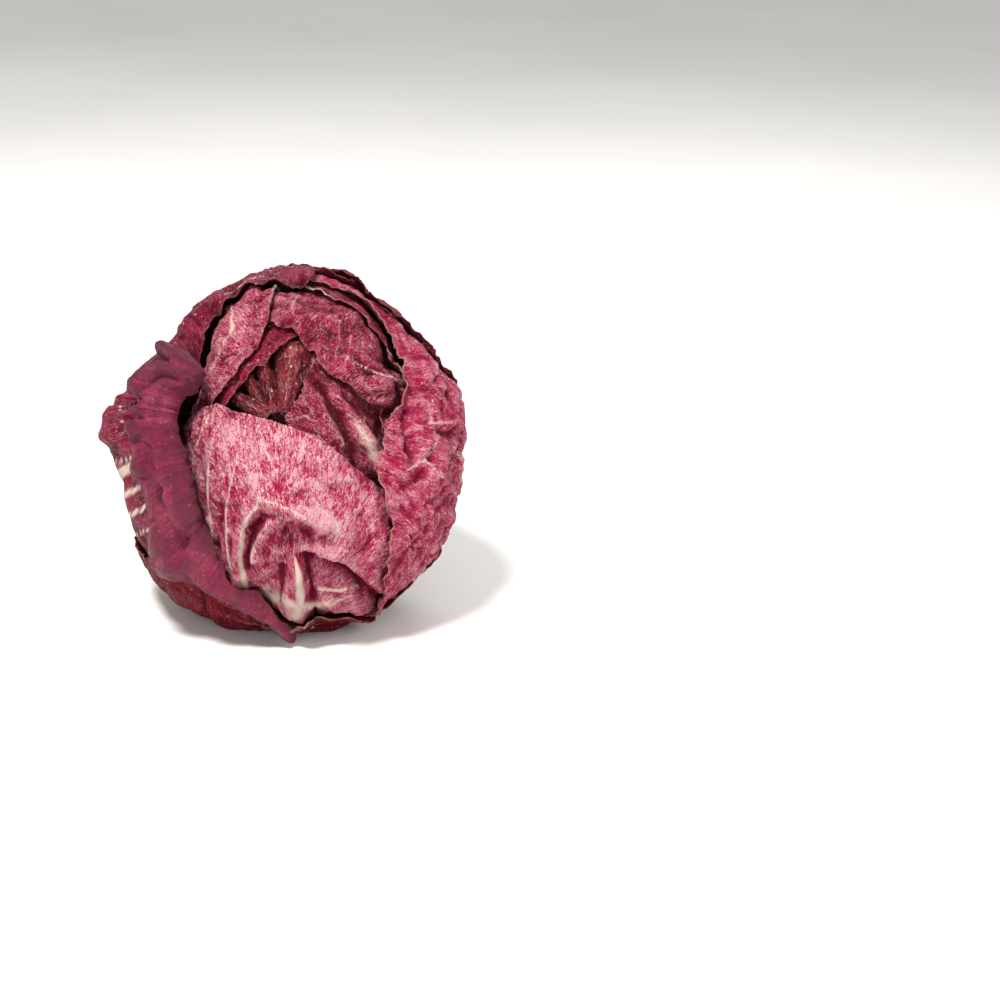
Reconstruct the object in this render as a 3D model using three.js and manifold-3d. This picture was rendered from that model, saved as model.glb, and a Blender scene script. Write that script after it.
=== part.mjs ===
// Radicchio head lying on its side: a cut stem, a packed heart and thirteen leaves wrapped one over another.
// Millimetres, +Z up, resting on z = 0, apex toward -Y, stem end toward +Y.
import * as THREE from "three";
import Module from "manifold-3d";

const wasm = await Module();
wasm.setup();

// ---------- driving dimensions ----------
const HEAD_CENTRE_HEIGHT = 61; // the centre all the leaves wrap around, above the table
const HEAD_SHIFT = [0.66, -5.95]; // that centre, from the middle of the part's footprint
const LOOK_ELEVATION = 16; // the leaf outlines are drawn on a plane tilted back by this many degrees
const AXIS_RIGHT = -0.146; // stem to apex direction on that plane
const AXIS_UP = 0.345;
const BLADE = 1.0; // blade thickness
const BASE_EXTRA = 0.8; // more thickness where a leaf leaves the stem
const LAYER_GAP = 1.0; // air between one layer and the next
const LAYER_GAP_AT_STEM = 1.6;
const COLUMN_SPREAD = 45; // radius at which the columns of a leaf are kept evenly wide
const UNDERSIDE_BEND = 5; // how softly the buried layers turn into the flat underside
const STEM_HALF_ANGLE = 10; // the stem is a cone about the head's axis
const STEM_NEAR = 37; // the cone's near and far ends, from the head's centre
const STEM_FAR = 66.5;
const LEAF_LENGTH_SCALE = 58; // mm of leaf per radian around the head

const COLOURS = {
  purple: 0x5a1238,
  crimson: 0x8c1442,
  magenta: 0xa12a55,
  pink: 0xb04a70,
  heart: 0x7c2236,
  stem: 0xd9cdb4,
};

// ---------- the tilted drawing frame: x to the right, y up, w toward the front ----------
const radians = THREE.MathUtils.degToRad;
const tilt = radians(LOOK_ELEVATION);
const axis = new THREE.Vector3(AXIS_RIGHT, AXIS_UP, Math.sqrt(1 - AXIS_RIGHT ** 2 - AXIS_UP ** 2));
const east = new THREE.Vector3(0, 1, 0).cross(axis).normalize();
const north = axis.clone().cross(east);
const down = new THREE.Vector3(0, -Math.cos(tilt), -Math.sin(tilt));

function toWorld(p) {
  const y = p.y * Math.sin(tilt) - p.z * Math.cos(tilt);
  const z = HEAD_CENTRE_HEIGHT + p.y * Math.cos(tilt) + p.z * Math.sin(tilt);
  return new THREE.Vector3(p.x + HEAD_SHIFT[0], y + HEAD_SHIFT[1], z);
}

const heightOf = (p) => toWorld(p).z;

function smooth(x, low, high) {
  const t = THREE.MathUtils.clamp((x - low) / (high - low), 0, 1);
  return t * t * (3 - 2 * t);
}

// Azimuth about the axis (0 up, positive to the right) and angle from the stem.
function polarOf(n) {
  const azimuth = Math.atan2(n.dot(east), n.dot(north));
  const polar = Math.acos(THREE.MathUtils.clamp(-n.dot(axis), -1, 1));
  return [azimuth, polar];
}

function fromPolar(azimuth, polar) {
  const ring = north.clone().multiplyScalar(Math.cos(azimuth)).addScaledVector(east, Math.sin(azimuth));
  return ring.multiplyScalar(Math.sin(polar)).addScaledVector(axis, -Math.cos(polar));
}

// ---------- outlines ----------
// A smooth dense curve through hand-placed points. A third number is +1 on the front of the head, -1 behind.
function smoothCurve(points) {
  const vectors = points.map((p) => new THREE.Vector3(p[0], p[1], p[2] ?? 1));
  const n = vectors.length;
  const at = (i) => {
    if (i < 0) return vectors[0].clone().multiplyScalar(2).sub(vectors[1]);
    if (i >= n) return vectors[n - 1].clone().multiplyScalar(2).sub(vectors[n - 2]);
    return vectors[i];
  };
  const dense = [];
  const STEPS = 24;
  for (let i = 0; i < n - 1; i++) {
    const around = [at(i - 1), at(i), at(i + 1), at(i + 2)];
    for (let k = 0; k < STEPS; k++) {
      const t = k / STEPS;
      const weights = [
        (-t + 2 * t * t - t ** 3) / 2,
        (2 - 5 * t * t + 3 * t ** 3) / 2,
        (t + 4 * t * t - 3 * t ** 3) / 2,
        (-t * t + t ** 3) / 2,
      ];
      const p = new THREE.Vector3();
      around.forEach((v, m) => p.addScaledVector(v, weights[m]));
      dense.push(p);
    }
  }
  dense.push(vectors[n - 1].clone());
  return dense;
}

function evenly(dense, count, spacing = (a, b) => a.distanceTo(b)) {
  const run = [0];
  for (let i = 1; i < dense.length; i++) run.push(run[i - 1] + spacing(dense[i - 1], dense[i]));
  const out = [];
  let j = 0;
  for (let i = 0; i < count; i++) {
    const want = (run[run.length - 1] * i) / (count - 1);
    while (j < run.length - 2 && run[j + 1] < want) j++;
    const t = (want - run[j]) / Math.max(run[j + 1] - run[j], 1e-9);
    out.push(dense[j].clone().lerp(dense[j + 1], Math.min(t, 1)));
  }
  return out;
}

// An outline pushed onto the leaf's own ellipsoid, as evenly spaced directions.
function outlineDirections(points, leaf, count) {
  const semi = new THREE.Vector3(...leaf.semi);
  const dense = smoothCurve(points).map((p) => {
    let u = (p.x - leaf.centre[0]) / leaf.semi[0];
    let v = (p.y - leaf.centre[1]) / leaf.semi[1];
    const r2 = u * u + v * v;
    if (r2 > 0.998) {
      u *= Math.sqrt(0.998 / r2);
      v *= Math.sqrt(0.998 / r2);
    }
    const w = Math.sqrt(1 - u * u - v * v) * THREE.MathUtils.clamp(p.z, -1, 1);
    return new THREE.Vector3(u, v, w).normalize().multiply(semi);
  });
  // A column narrows toward the apex, so columns are shared out by the width they have halfway too.
  const azimuth = (p) => polarOf(p.clone().divide(semi).normalize())[0];
  const spacing = (a, b) => {
    const turn = Math.abs(azimuth(b) - azimuth(a));
    return Math.hypot(a.distanceTo(b), COLUMN_SPREAD * Math.min(turn, 2 * Math.PI - turn));
  };
  return evenly(dense, count, spacing).map((p) => p.divide(semi).normalize());
}

// ---------- wrinkles: warped sines, the same for every leaf but its seed ----------
function ripple(p, wavelength, seed) {
  const k = (2 * Math.PI) / wavelength;
  const directions = [];
  for (let i = 0; i < 4; i++) {
    const z = ((seed * 7 + i * 5) % 13) / 6 - 1;
    const a = 2.399963 * (seed * 3 + i * 4 + 1);
    const r = Math.sqrt(Math.max(0, 1 - z * z));
    directions.push(new THREE.Vector3(r * Math.cos(a), r * Math.sin(a), z));
  }
  let total = 0;
  directions.forEach((d, i) => {
    const warp = 1.3 * Math.sin(0.53 * k * p.dot(directions[(i + 1) % 4]) + 2.1 * i);
    total += Math.sin(k * p.dot(d) + 1.7 * i + seed + warp);
  });
  return total / 2.2;
}

const swells = (p, wavelength, seed) => Math.min(Math.abs(ripple(p, wavelength, seed)), 1) ** 0.7;

// A ridge (positive height) or valley drawn along a line, with its own width to each side.
function strokeHeight(p, stroke) {
  const [height, leftWidth, rightWidth, line] = stroke;
  let best = Infinity;
  let side = 1;
  let along = 0;
  let run = 0;
  const total = line.slice(1).reduce((sum, q, i) => sum + q.distanceTo(line[i]), 0);
  for (let i = 0; i < line.length - 1; i++) {
    const [a, b] = [line[i], line[i + 1]];
    const [sx, sy] = [b.x - a.x, b.y - a.y];
    const [vx, vy] = [p.x - a.x, p.y - a.y];
    const length = Math.hypot(sx, sy);
    const t = THREE.MathUtils.clamp((vx * sx + vy * sy) / (length * length), 0, 1);
    const distance = Math.hypot(vx - t * sx, vy - t * sy);
    if (distance < best) {
      best = distance;
      side = sx * vy - sy * vx;
      along = (run + t * length) / total;
    }
    run += length;
  }
  const width = side > 0 ? leftWidth : rightWidth;
  const fade = 0.35 + 0.65 * smooth(along, -0.02, 0.12) * (1 - smooth(along, 0.88, 1.02));
  return height * Math.exp(-((best / width) ** 2)) * smooth(p.z, -5, 10) * fade;
}

// ---------- the drape: how far out the head reaches so far, by direction ----------
const MAP_AROUND = 120;
const MAP_ALONG = 60;

class Drape {
  constructor() {
    this.reach = new Float64Array(MAP_AROUND * MAP_ALONG);
    this.soft = this.reach;
  }

  cell(p) {
    const r = p.length();
    const [azimuth, polar] = polarOf(p.clone().divideScalar(r));
    return [((azimuth + Math.PI) / (2 * Math.PI)) * MAP_AROUND, (polar / Math.PI) * MAP_ALONG, r];
  }

  // Each cell takes in its neighbours, more of them around the ring near the ends, where cells are narrow.
  filter(map, combine) {
    const out = new Float64Array(map.length);
    for (let j = 0; j < MAP_ALONG; j++) {
      const wide = Math.min(Math.round(1 / Math.sin((Math.PI * (j + 0.5)) / MAP_ALONG)), 8);
      const rows = [Math.max(j - 1, 0), j, j, Math.min(j + 1, MAP_ALONG - 1)];
      for (let i = 0; i < MAP_AROUND; i++) {
        const near = [];
        for (let k = -wide; k <= wide; k++) {
          const start = ((i + k + MAP_AROUND) % MAP_AROUND) * MAP_ALONG;
          rows.forEach((row) => near.push(map[start + row]));
        }
        out[i * MAP_ALONG + j] = combine(near);
      }
    }
    return out;
  }

  // Takes in a grid of points, with points between them so that no cell of the map is missed.
  // The ring where a leaf starts also counts for the directions between it and the stem.
  add(grid) {
    const FILL = 3;
    for (const [start] of grid) {
      const [a, b, r] = this.cell(start);
      for (let row = 0; row < b && b < MAP_ALONG / 4; row++) {
        const at = (Math.floor(a) % MAP_AROUND) * MAP_ALONG + row;
        this.reach[at] = Math.max(this.reach[at], r);
      }
    }
    for (let i = 0; i < grid.length - 1; i++) {
      for (let j = 0; j < grid[0].length - 1; j++) {
        for (let m = 0; m <= FILL; m++) {
          for (let k = 0; k <= FILL; k++) {
            const low = grid[i][j].clone().lerp(grid[i + 1][j], m / FILL);
            const high = grid[i][j + 1].clone().lerp(grid[i + 1][j + 1], m / FILL);
            const [a, b, r] = this.cell(low.lerp(high, k / FILL));
            const column = Math.floor(a) % MAP_AROUND;
            const row = Math.min(Math.floor(b), MAP_ALONG - 1);
            const at = column * MAP_ALONG + row;
            this.reach[at] = Math.max(this.reach[at], r);
          }
        }
      }
    }
    const widest = (near) => Math.max(...near);
    const blend = (near) => near.reduce((sum, r) => sum + r, 0) / near.length;
    let map = this.reach;
    for (const combine of [widest, widest, widest, blend, blend]) map = this.filter(map, combine);
    this.soft = map;
  }

  at(p, map) {
    const [a, b] = this.cell(p);
    const x = a - 0.5;
    const y = THREE.MathUtils.clamp(b - 0.5, 0, MAP_ALONG - 1.001);
    const [x0, y0] = [Math.floor(x), Math.floor(y)];
    const read = (i, j) => map[((i + MAP_AROUND) % MAP_AROUND) * MAP_ALONG + j];
    const low = THREE.MathUtils.lerp(read(x0, y0), read(x0 + 1, y0), x - x0);
    const high = THREE.MathUtils.lerp(read(x0, y0 + 1), read(x0 + 1, y0 + 1), x - x0);
    return THREE.MathUtils.lerp(low, high, y - y0);
  }
}

// ---------- one leaf ----------
// Azimuths of the rim measured from the midrib, without a jump at the back.
function turnsFromMidrib(rimPolar, middle) {
  const turns = rimPolar.map(([azimuth]) => azimuth - middle);
  for (let i = 1; i < turns.length; i++) {
    turns[i] -= 2 * Math.PI * Math.round((turns[i] - turns[i - 1]) / (2 * Math.PI));
  }
  const shift = 2 * Math.PI * Math.round(turns[Math.floor(turns.length / 2)] / (2 * Math.PI));
  return turns.map((turn) => turn - shift);
}

function runsRightward(leaf) {
  const polar = outlineDirections(leaf.rim, leaf, 40).map(polarOf);
  const turns = turnsFromMidrib(polar, radians(leaf.middle));
  return turns[turns.length - 1] > turns[0];
}

// Columns run across the leaf, rows from the stem to the rim, then over the fold if the rim turns back.
// The leaf lies on the map named under; its folded part lies on the map named over.
function shapeLeaf(leaf, drape, under, over) {
  const [columns, rows] = leaf.grid;
  const rightward = runsRightward(leaf);
  const inOrder = (line) => (rightward ? line : [...line].reverse());
  const strokes = (leaf.strokes ?? []).map(([height, left, right, line]) => [
    height,
    left,
    right,
    evenly(smoothCurve(line), 3 * line.length),
  ]);
  const middle = radians(leaf.middle);
  const rimDirections = outlineDirections(inOrder(leaf.rim), leaf, columns);
  const rimPolar = rimDirections.map(polarOf);
  const semi = new THREE.Vector3(...leaf.semi);
  const centre = new THREE.Vector3(...leaf.centre);
  const place = (direction) => direction.clone().multiply(semi).add(centre);

  const turns = turnsFromMidrib(rimPolar, middle);
  const [firstTurn, lastTurn] = [turns[0], turns[columns - 1]];

  const base = radians(leaf.base);
  const flapDirections = over ? outlineDirections(inOrder(leaf.flap), leaf, columns) : null;
  const flapRows = over ? leaf.flapRows : 0;
  const outer = [];
  const thickness = [];
  let arc = 0;
  for (let i = 0; i < columns; i++) {
    if (i) arc += place(rimDirections[i]).distanceTo(place(rimDirections[i - 1]));
    const ragged =
      leaf.ragged *
      (0.5 * Math.sin(arc / 2.3 + 2 * Math.sin(arc / 5.1)) + 0.8 * Math.sin(arc / 6.1 + 1.1));
    const rimAngle = rimPolar[i][1] + ragged / 60;
    outer.push([]);
    thickness.push([]);
    for (let j = 0; j < rows + flapRows; j++) {
      const f = (Math.max(0, j - rows + 1) / Math.max(flapRows, 1)) ** 1.3;
      const t = Math.min(j / (rows - 1), 1);
      const b = 1 - (1 - t) ** leaf.toRim;
      const angle = base + (rimAngle - base) * b;
      const fade = smooth(b, 0, 0.2) * (1 - smooth(b, 0.8, 1));
      const waver = 1 + leaf.waver * Math.sin(7 * angle + leaf.seed) * fade;

      // Columns leave the stem evenly apart, and fan out to their own places on the rim.
      const even = THREE.MathUtils.lerp(firstTurn, lastTurn, i / (columns - 1));
      const fanned = THREE.MathUtils.lerp(even, turns[i], smooth(b, 0, 1));
      const turn = fanned * (leaf.neck + (1 - leaf.neck) * smooth(b, 0, 0.5)) * waver;
      let direction = fromPolar(middle + turn, angle);
      if (f > 0) {
        direction = rimDirections[i].clone().multiplyScalar(1 - f);
        direction.addScaledVector(flapDirections[i], f).normalize();
      }
      const p = place(direction);
      const ray = p.clone().normalize();
      const across = turn * Math.sin(angle) * LEAF_LENGTH_SCALE;

      // The head draws in where the leaves crowd onto the stem.
      let r = p.length() * (1 - leaf.dip * Math.exp(-((angle / radians(38)) ** 2)));

      // Midrib, thick blade base, wrinkles, folds and the rolled rim.
      const ribWidth = 1 + 7 * (1 - smooth(angle, 0, radians(150)));
      const ribHeight = leaf.rib * (1 - smooth(angle, radians(20), radians(105)));
      const rib = f > 0 ? 0 : ribHeight * Math.exp(-((across / ribWidth) ** 2));
      const baseExtra = f > 0 ? 0 : BASE_EXTRA * (1 - smooth(angle, radians(15), radians(60)));
      const blade = BLADE + 0.8 * rib + baseExtra;
      const fromBase = smooth(angle, radians(25), radians(75));
      const wrinkle =
        1.6 * ripple(p, 34, leaf.seed) +
        1.8 * (swells(p, 26, leaf.seed + 3) - 0.6) +
        0.9 * (swells(p, 11, leaf.seed + 5) - 0.6);
      const toRim = Math.max(0, rimAngle - angle) * LEAF_LENGTH_SCALE;
      const roll =
        leaf.curl * (1 + 0.5 * Math.sin(arc / 9 + leaf.seed)) * Math.max(0, 1 - toRim / leaf.curlWidth) ** 2;
      r += leaf.crumple * fromBase * wrinkle + (f > 0 ? 0 : roll);
      strokes.forEach((stroke) => (r += strokeHeight(p, stroke)));
      if (f > 0) {
        const over = Math.min(f / 0.35, 1);
        r += leaf.flapLift * Math.sqrt(1 - (1 - over) ** 2) + leaf.flapSwell * Math.sin(Math.PI * f);
      }

      // Never inside the layers already there, and never below the table. Folded back, the blade is outside.
      const gap = THREE.MathUtils.lerp(LAYER_GAP_AT_STEM, LAYER_GAP, smooth(angle, radians(20), radians(55)));
      const lowest = drape.at(ray, f > 0 ? over : under) + gap + (f > 0 ? 0 : blade);
      r = 0.5 * (r + lowest + Math.hypot(r - lowest, 0.5)) + rib;
      r = aboveTable(r, ray, f > 0 ? BLADE : leaf.floor);
      outer[i].push(ray.multiplyScalar(r));
      thickness[i].push(blade);
    }
  }
  return { outer, thickness };
}

// The reach along a ray, kept above a height: rounded into the flat underside, but not on the leaf that
// touches.
function aboveTable(r, ray, floor) {
  const drop = ray.dot(down);
  if (drop < 0.2) return r;
  const limit = (HEAD_CENTRE_HEIGHT - floor) / drop;
  const bend = floor < 1.5 ? 0 : UNDERSIDE_BEND;
  const near = Math.max(bend - Math.abs(r - limit), 0);
  return Math.min(r, limit) - (bend ? near ** 2 / (4 * bend) : 0);
}

// A closed sheet: the outer grid, the same grid moved in by the thickness, and a strip around the edge.
function sheetGeometry(outer, thickness) {
  const [m, n] = [outer.length, outer[0].length];
  const at = (i, j) => outer[THREE.MathUtils.clamp(i, 0, m - 1)][THREE.MathUtils.clamp(j, 0, n - 1)];
  const inner = outer.map((column, i) =>
    column.map((p, j) => {
      const across = at(i + 1, j).clone().sub(at(i - 1, j));
      const along = at(i, j + 1).clone().sub(at(i, j - 1));
      const normal = along.cross(across).normalize();
      return p.clone().addScaledVector(normal, -thickness[i][j]);
    }),
  );
  const positions = [];
  for (const grid of [outer, inner]) {
    for (const column of grid) for (const p of column) positions.push(...toWorld(p).toArray());
  }
  const faces = [];
  const id = (i, j) => i * n + j;
  const behind = m * n;
  for (let i = 0; i < m - 1; i++) {
    for (let j = 0; j < n - 1; j++) {
      const [a, b, c, d] = [id(i, j), id(i + 1, j), id(i + 1, j + 1), id(i, j + 1)];
      faces.push([a, d, c], [a, c, b]);
      faces.push([a + behind, c + behind, d + behind], [a + behind, b + behind, c + behind]);
    }
  }
  const loop = [];
  for (let j = 0; j < n; j++) loop.push(id(0, j));
  for (let i = 1; i < m; i++) loop.push(id(i, n - 1));
  for (let j = n - 2; j >= 0; j--) loop.push(id(m - 1, j));
  for (let i = m - 2; i > 0; i--) loop.push(id(i, 0));
  loop.forEach((a, k) => {
    const b = loop[(k + 1) % loop.length];
    faces.push([a, b + behind, b], [a, a + behind, b + behind]);
  });
  return meshGeometry(positions, faces);
}

function meshGeometry(positions, faces) {
  const geometry = new THREE.BufferGeometry();
  geometry.setAttribute("position", new THREE.Float32BufferAttribute(positions, 3));
  geometry.setIndex(faces.flat());
  geometry.computeVertexNormals();
  return geometry;
}

// ---------- the heart: a core and the small curled leaves that show in its opening ----------
const CORE = { centre: [3.5, 0, 0], semi: [31, 50, 44], floor: 22, dip: 0.25 };

function corePoint(azimuth, angle) {
  const p = fromPolar(azimuth, angle).multiply(new THREE.Vector3(...CORE.semi));
  p.add(new THREE.Vector3(...CORE.centre));
  const ray = p.clone().normalize();
  const r = p.length() * (1 - CORE.dip * Math.exp(-((angle / radians(38)) ** 2)));
  return ray.clone().multiplyScalar(aboveTable(r, ray, CORE.floor));
}

function coreGeometry(around, along) {
  const positions = [toWorld(corePoint(0, 0)), toWorld(corePoint(0, Math.PI))].flatMap((p) => p.toArray());
  for (let i = 0; i < around; i++) {
    for (let j = 1; j < along; j++) {
      const p = corePoint((2 * Math.PI * i) / around, (Math.PI * j) / along);
      positions.push(...toWorld(p).toArray());
    }
  }
  const id = (i, j) => 2 + (i % around) * (along - 1) + (j - 1);
  const faces = [];
  for (let i = 0; i < around; i++) {
    faces.push([0, id(i, 1), id(i + 1, 1)], [1, id(i + 1, along - 1), id(i, along - 1)]);
    for (let j = 1; j < along - 1; j++) {
      const [a, b, c, d] = [id(i, j), id(i + 1, j), id(i + 1, j + 1), id(i, j + 1)];
      faces.push([a, d, c], [a, c, b]);
    }
  }
  return meshGeometry(positions, faces);
}

const spatialCurve = (points) =>
  new THREE.CatmullRomCurve3(points.map((p) => new THREE.Vector3(...p))).getPoints(40);

// A rolled leaf: an open tube along a short line, wide at the middle, its bottom buried in the core.
function curlSheet({ line, radii, open }, around, along) {
  const path = evenly(spatialCurve(line), along);
  const radius = evenly(spatialCurve(radii.map((r, i) => [10 * i, r, 0])), along).map((p) => p.y);
  const outer = [];
  for (let i = 0; i < around; i++) {
    const turn = radians(open) * ((2 * i) / (around - 1) - 1);
    outer.push(
      path.map((p, j) => {
        const forward = path[Math.min(j + 1, along - 1)].clone().sub(path[Math.max(j - 1, 0)]).normalize();
        const out = p.clone().normalize();
        const side = forward.clone().cross(out).normalize();
        const lift = side.clone().cross(forward);
        const round = radius[j] * (1 + 0.12 * Math.sin(3 * turn + j));
        return p
          .clone()
          .addScaledVector(side, -round * Math.sin(turn))
          .addScaledVector(lift, round * Math.cos(turn));
      }),
    );
  }
  return outer;
}

const CURLS = [
  { line: [[0.5, 33, 33], [0.8, 25, 37.5], [-0.8, 13, 39]], radii: [4.6, 5.4, 2.8], open: 125 },
  { line: [[-9, 29.5, 31], [-6.8, 23, 36], [-4.2, 15, 38.5]], radii: [2.6, 3.2, 2.2], open: 120 },
  { line: [[-13, 24, 31], [-10.8, 19.5, 35], [-8, 15, 36.5]], radii: [2, 2.6, 1.8], open: 120 },
  { line: [[-17, 15.8, 33], [-11, 13, 38], [-4.5, 10, 41]], radii: [2.6, 3.3, 2.2], open: 125 },
  { line: [[-4, 34, 30], [3.5, 33, 34.5], [9, 27.5, 35]], radii: [2.2, 3.4, 2.6], open: 120 },
];

// ---------- the leaves, from the heart outward ----------
// rim: outline on the drawing plane. middle: azimuth of the midrib. floor: how near the table the leaf
// may come.
const plain = {
  centre: [0, 0, 0],
  base: 13,
  neck: 0.85,
  dip: 0.1,
  ragged: 0.6,
  crumple: 0.8,
  rib: 2.2,
  curl: 0,
  curlWidth: 5,
  toRim: 1.25,
  waver: 0.03,
  grid: [21, 12],
};
const inHeart = { ...plain, centre: [3.5, 0, 0], base: 19, rib: 0.5, toRim: 1.35, waver: 0, grid: [17, 10] };

const LEAVES = [
  {
    ...inHeart,
    name: "leaf_heart_right",
    seed: 3,
    middle: 120,
    semi: [35.5, 53.5, 49],
    dip: 0.2,
    floor: 16,
    ragged: 1.2,
    rim: [[9, 31.8], [8, 28], [6.4, 23.5], [3.6, 17], [0.4, 12], [1, 7], [-4, 1], [-12, -8]],
    strokes: [
      [2.4, 2, 4, [[12, 20], [16, 8], [24, -6]]],
      [2.4, 3.5, 2.5, [[17, 20], [26, 6], [33, -7]]],
    ],
    colour: COLOURS.crimson,
  },
  {
    ...inHeart,
    name: "leaf_heart_left",
    seed: 5,
    middle: -60,
    semi: [35.5, 53.5, 50],
    dip: 0.2,
    floor: 16,
    ragged: 0.3,
    crumple: 0.5,
    curl: 1.2,
    curlWidth: 4,
    rim: [
      [12, 44], [7, 40], [1.8, 35.6], [-2.1, 32.9], [-9.4, 27.2], [-12.4, 24.2], [-16.4, 19.1],
      [-20, 13], [-25, 5], [-28, -5],
    ],
    colour: COLOURS.crimson,
  },
  {
    ...inHeart,
    name: "leaf_heart_upper_right",
    seed: 7,
    middle: 50,
    semi: [37.5, 55.5, 52],
    dip: 0.18,
    floor: 14,
    ragged: 0.8,
    grid: [21, 10],
    rim: [
      [-12, 50], [-6, 43], [2.5, 38.5], [8.6, 32.2], [13.5, 26.8], [22, 20.7], [27.6, 16.9],
      [33.2, 12.8], [32.3, 8.6], [33.7, 1.1], [34.6, -4.5], [37, -14], [38, -24],
    ],
    strokes: [[3, 7, 1.2, [[19.2, 42.6], [12, 42], [3.4, 42], [-6, 42]]]],
    colour: COLOURS.magenta,
  },
  {
    ...inHeart,
    name: "leaf_heart_upper_left",
    seed: 11,
    middle: -60,
    semi: [38, 57, 53.5],
    dip: 0.16,
    floor: 13,
    ragged: 0.5,
    curl: 1.5,
    curlWidth: 3,
    grid: [21, 10],
    rim: [
      [1, 57, -1], [-1.9, 57.2, 0.7], [-4.1, 50], [-5.9, 43.9], [-10.5, 36], [-15.3, 28.6],
      [-19.1, 23.8], [-22.1, 20], [-29, 11], [-34, 0], [-36, -12],
    ],
    strokes: [
      [1.8, 2.5, 2.5, [[-20, 52], [-18, 44], [-24, 34]]],
      [1.5, 2, 4, [[-8, 52], [-16, 40], [-24, 30]]],
    ],
    colour: COLOURS.pink,
  },
  {
    ...plain,
    name: "leaf_front",
    waver: 0,
    seed: 2,
    middle: 180,
    centre: [3.5, 0, 0],
    semi: [39, 57.5, 56],
    dip: 0.14,
    base: 16,
    floor: 7.5,
    ragged: 0.4,
    rib: 1.5,
    grid: [25, 14],
    rim: [
      [-34.6, 6.8], [-31, 11.4], [-27.5, 14], [-24, 15], [-20, 13.4], [-14.1, 12], [-7.3, 10.3],
      [-0.7, 8], [10.9, 3], [23.9, -7.3], [30.9, -13.2], [35.5, -16.5], [39.5, -19.5],
    ],
    strokes: [
      [2.6, 3, 2, [[-14.3, -44], [-15.2, -33.3], [-14.3, -26.8], [-9.6, -19.4]]],
      [1.8, 2.5, 2, [[-10.5, -38], [-8.7, -29.6], [-3.1, -24]]],
      [2.6, 4, 2.5, [[-9.6, -19.4], [4.3, -21.2], [16.4, -26.8], [13.6, -32.4], [5.3, -34.2]]],
      [-3.2, 2.5, 2.5, [[4.3, -36.5], [11.8, -36], [20.2, -39.5], [28.5, -45.4]]],
      [2.6, 3, 2, [[3.4, -37], [1.5, -45], [0.6, -53]]],
      [2.2, 2, 3.5, [[8, -49.5], [18, -48.5], [28.5, -47.3]]],
      [5, 9, 9, [[33, -24], [28, -38], [20, -50]]],
      [2.5, 8, 8, [[-22, -34], [-12, -48]]],
    ],
    colour: COLOURS.pink,
  },
  {
    ...plain,
    name: "leaf_right_inner",
    waver: 0,
    seed: 13,
    middle: 80,
    centre: [4, 0, 0],
    semi: [44, 58.5, 54.5],
    dip: 0.14,
    base: 15,
    floor: 8,
    ragged: 0.3,
    crumple: 0.5,
    rib: 1,
    curl: 1,
    curlWidth: 4,
    grid: [19, 10],
    rim: [
      [-4, 58.5, -1], [4, 57.3], [9, 54.6], [16.4, 51.4], [23.9, 45.8], [30.4, 39.3], [36, 33.7],
      [40, 26], [44, 15], [44, 6], [44, -4],
    ],
    colour: COLOURS.crimson,
  },
  {
    ...plain,
    name: "leaf_right",
    seed: 17,
    middle: 95,
    centre: [2, 0, 0],
    semi: [61.5, 62, 57],
    dip: 0.12,
    base: 14,
    neck: 0.7,
    floor: 5.5,
    ragged: 1,
    crumple: 1.1,
    grid: [27, 14],
    rim: [
      [-6, 61, -1], [4, 60.5], [10.9, 58.8], [23, 55.1], [29.5, 50.4], [35, 45.8], [40.6, 39.3],
      [45.3, 33.7], [46.5, 25], [45, 18.7], [39.7, 8.2], [35, -3.3], [33.8, -12.8], [33.7, -20.3],
      [36, -24.9], [34.6, -31.4], [31.3, -41.7], [29.9, -50.1], [23, -53.8], [12, -57],
    ],
    strokes: [[-7, 4, 3, [[49.9, 24], [47.5, 8.6], [44, -4]]]],
    colour: COLOURS.magenta,
  },
  {
    ...plain,
    name: "leaf_left",
    seed: 19,
    middle: -112,
    semi: [52, 60.5, 56],
    dip: 0.12,
    base: 14,
    neck: 0.7,
    floor: 3.7,
    grid: [27, 13],
    crumple: 0.7,
    flapRows: 4,
    flapLift: 4,
    flapSwell: 2,
    rim: [
      [-33.5, 34], [-31.7, 28.8], [-34.2, 24.2], [-40.2, 19.2], [-44.7, 12.3], [-50, 8.3], [-47.7, 3.8],
      [-42.2, -0.2], [-38.2, -2.4], [-34.2, -13.9], [-28.2, -29.9], [-22.2, -40.4], [-10.2, -49.9],
      [2.3, -57.4],
    ],
    flap: [
      [-43.5, 32], [-48.5, 27], [-51.5, 21.4], [-52, 17], [-52, 11.3], [-52, 5], [-51, 0],
      [-49.5, -7.9], [-48.2, -17.9], [-46.2, -29.9], [-42.2, -41.9], [-35.2, -45.4], [-26.2, -49.4],
      [-17.7, -52.4], [-0.2, -60.5],
    ],
    colour: COLOURS.purple,
  },
  {
    ...plain,
    name: "leaf_top",
    seed: 23,
    middle: -8,
    semi: [61, 63.5, 59],
    floor: 3.7,
    rim: [
      [-54, 12, -1], [-54, 20, -1], [-51.5, 28, -0.6], [-41, 37.3], [-36.5, 41.8], [-30.1, 46.7],
      [-25.4, 51.8], [-18, 56], [-10.5, 57.9], [-5, 58.8], [7.1, 59.3], [11.8, 61.1], [19.2, 58.8],
      [30, 52, -1], [42, 40, -1],
    ],
    colour: COLOURS.purple,
  },
  {
    ...plain,
    name: "leaf_upper_right",
    seed: 29,
    middle: 58,
    semi: [63.5, 65, 60],
    floor: 3.7,
    ragged: 0.4,
    crumple: 0.6,
    rim: [
      [-12, 58, -1], [8, 64, -1], [20.2, 60.3], [27.6, 58.4], [33.3, 53.2], [40, 47.5], [48.1, 40.2],
      [51, 34], [56, 26, 0], [60.5, 15, -1], [61, 2, -1], [58, -14, -1],
    ],
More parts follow.
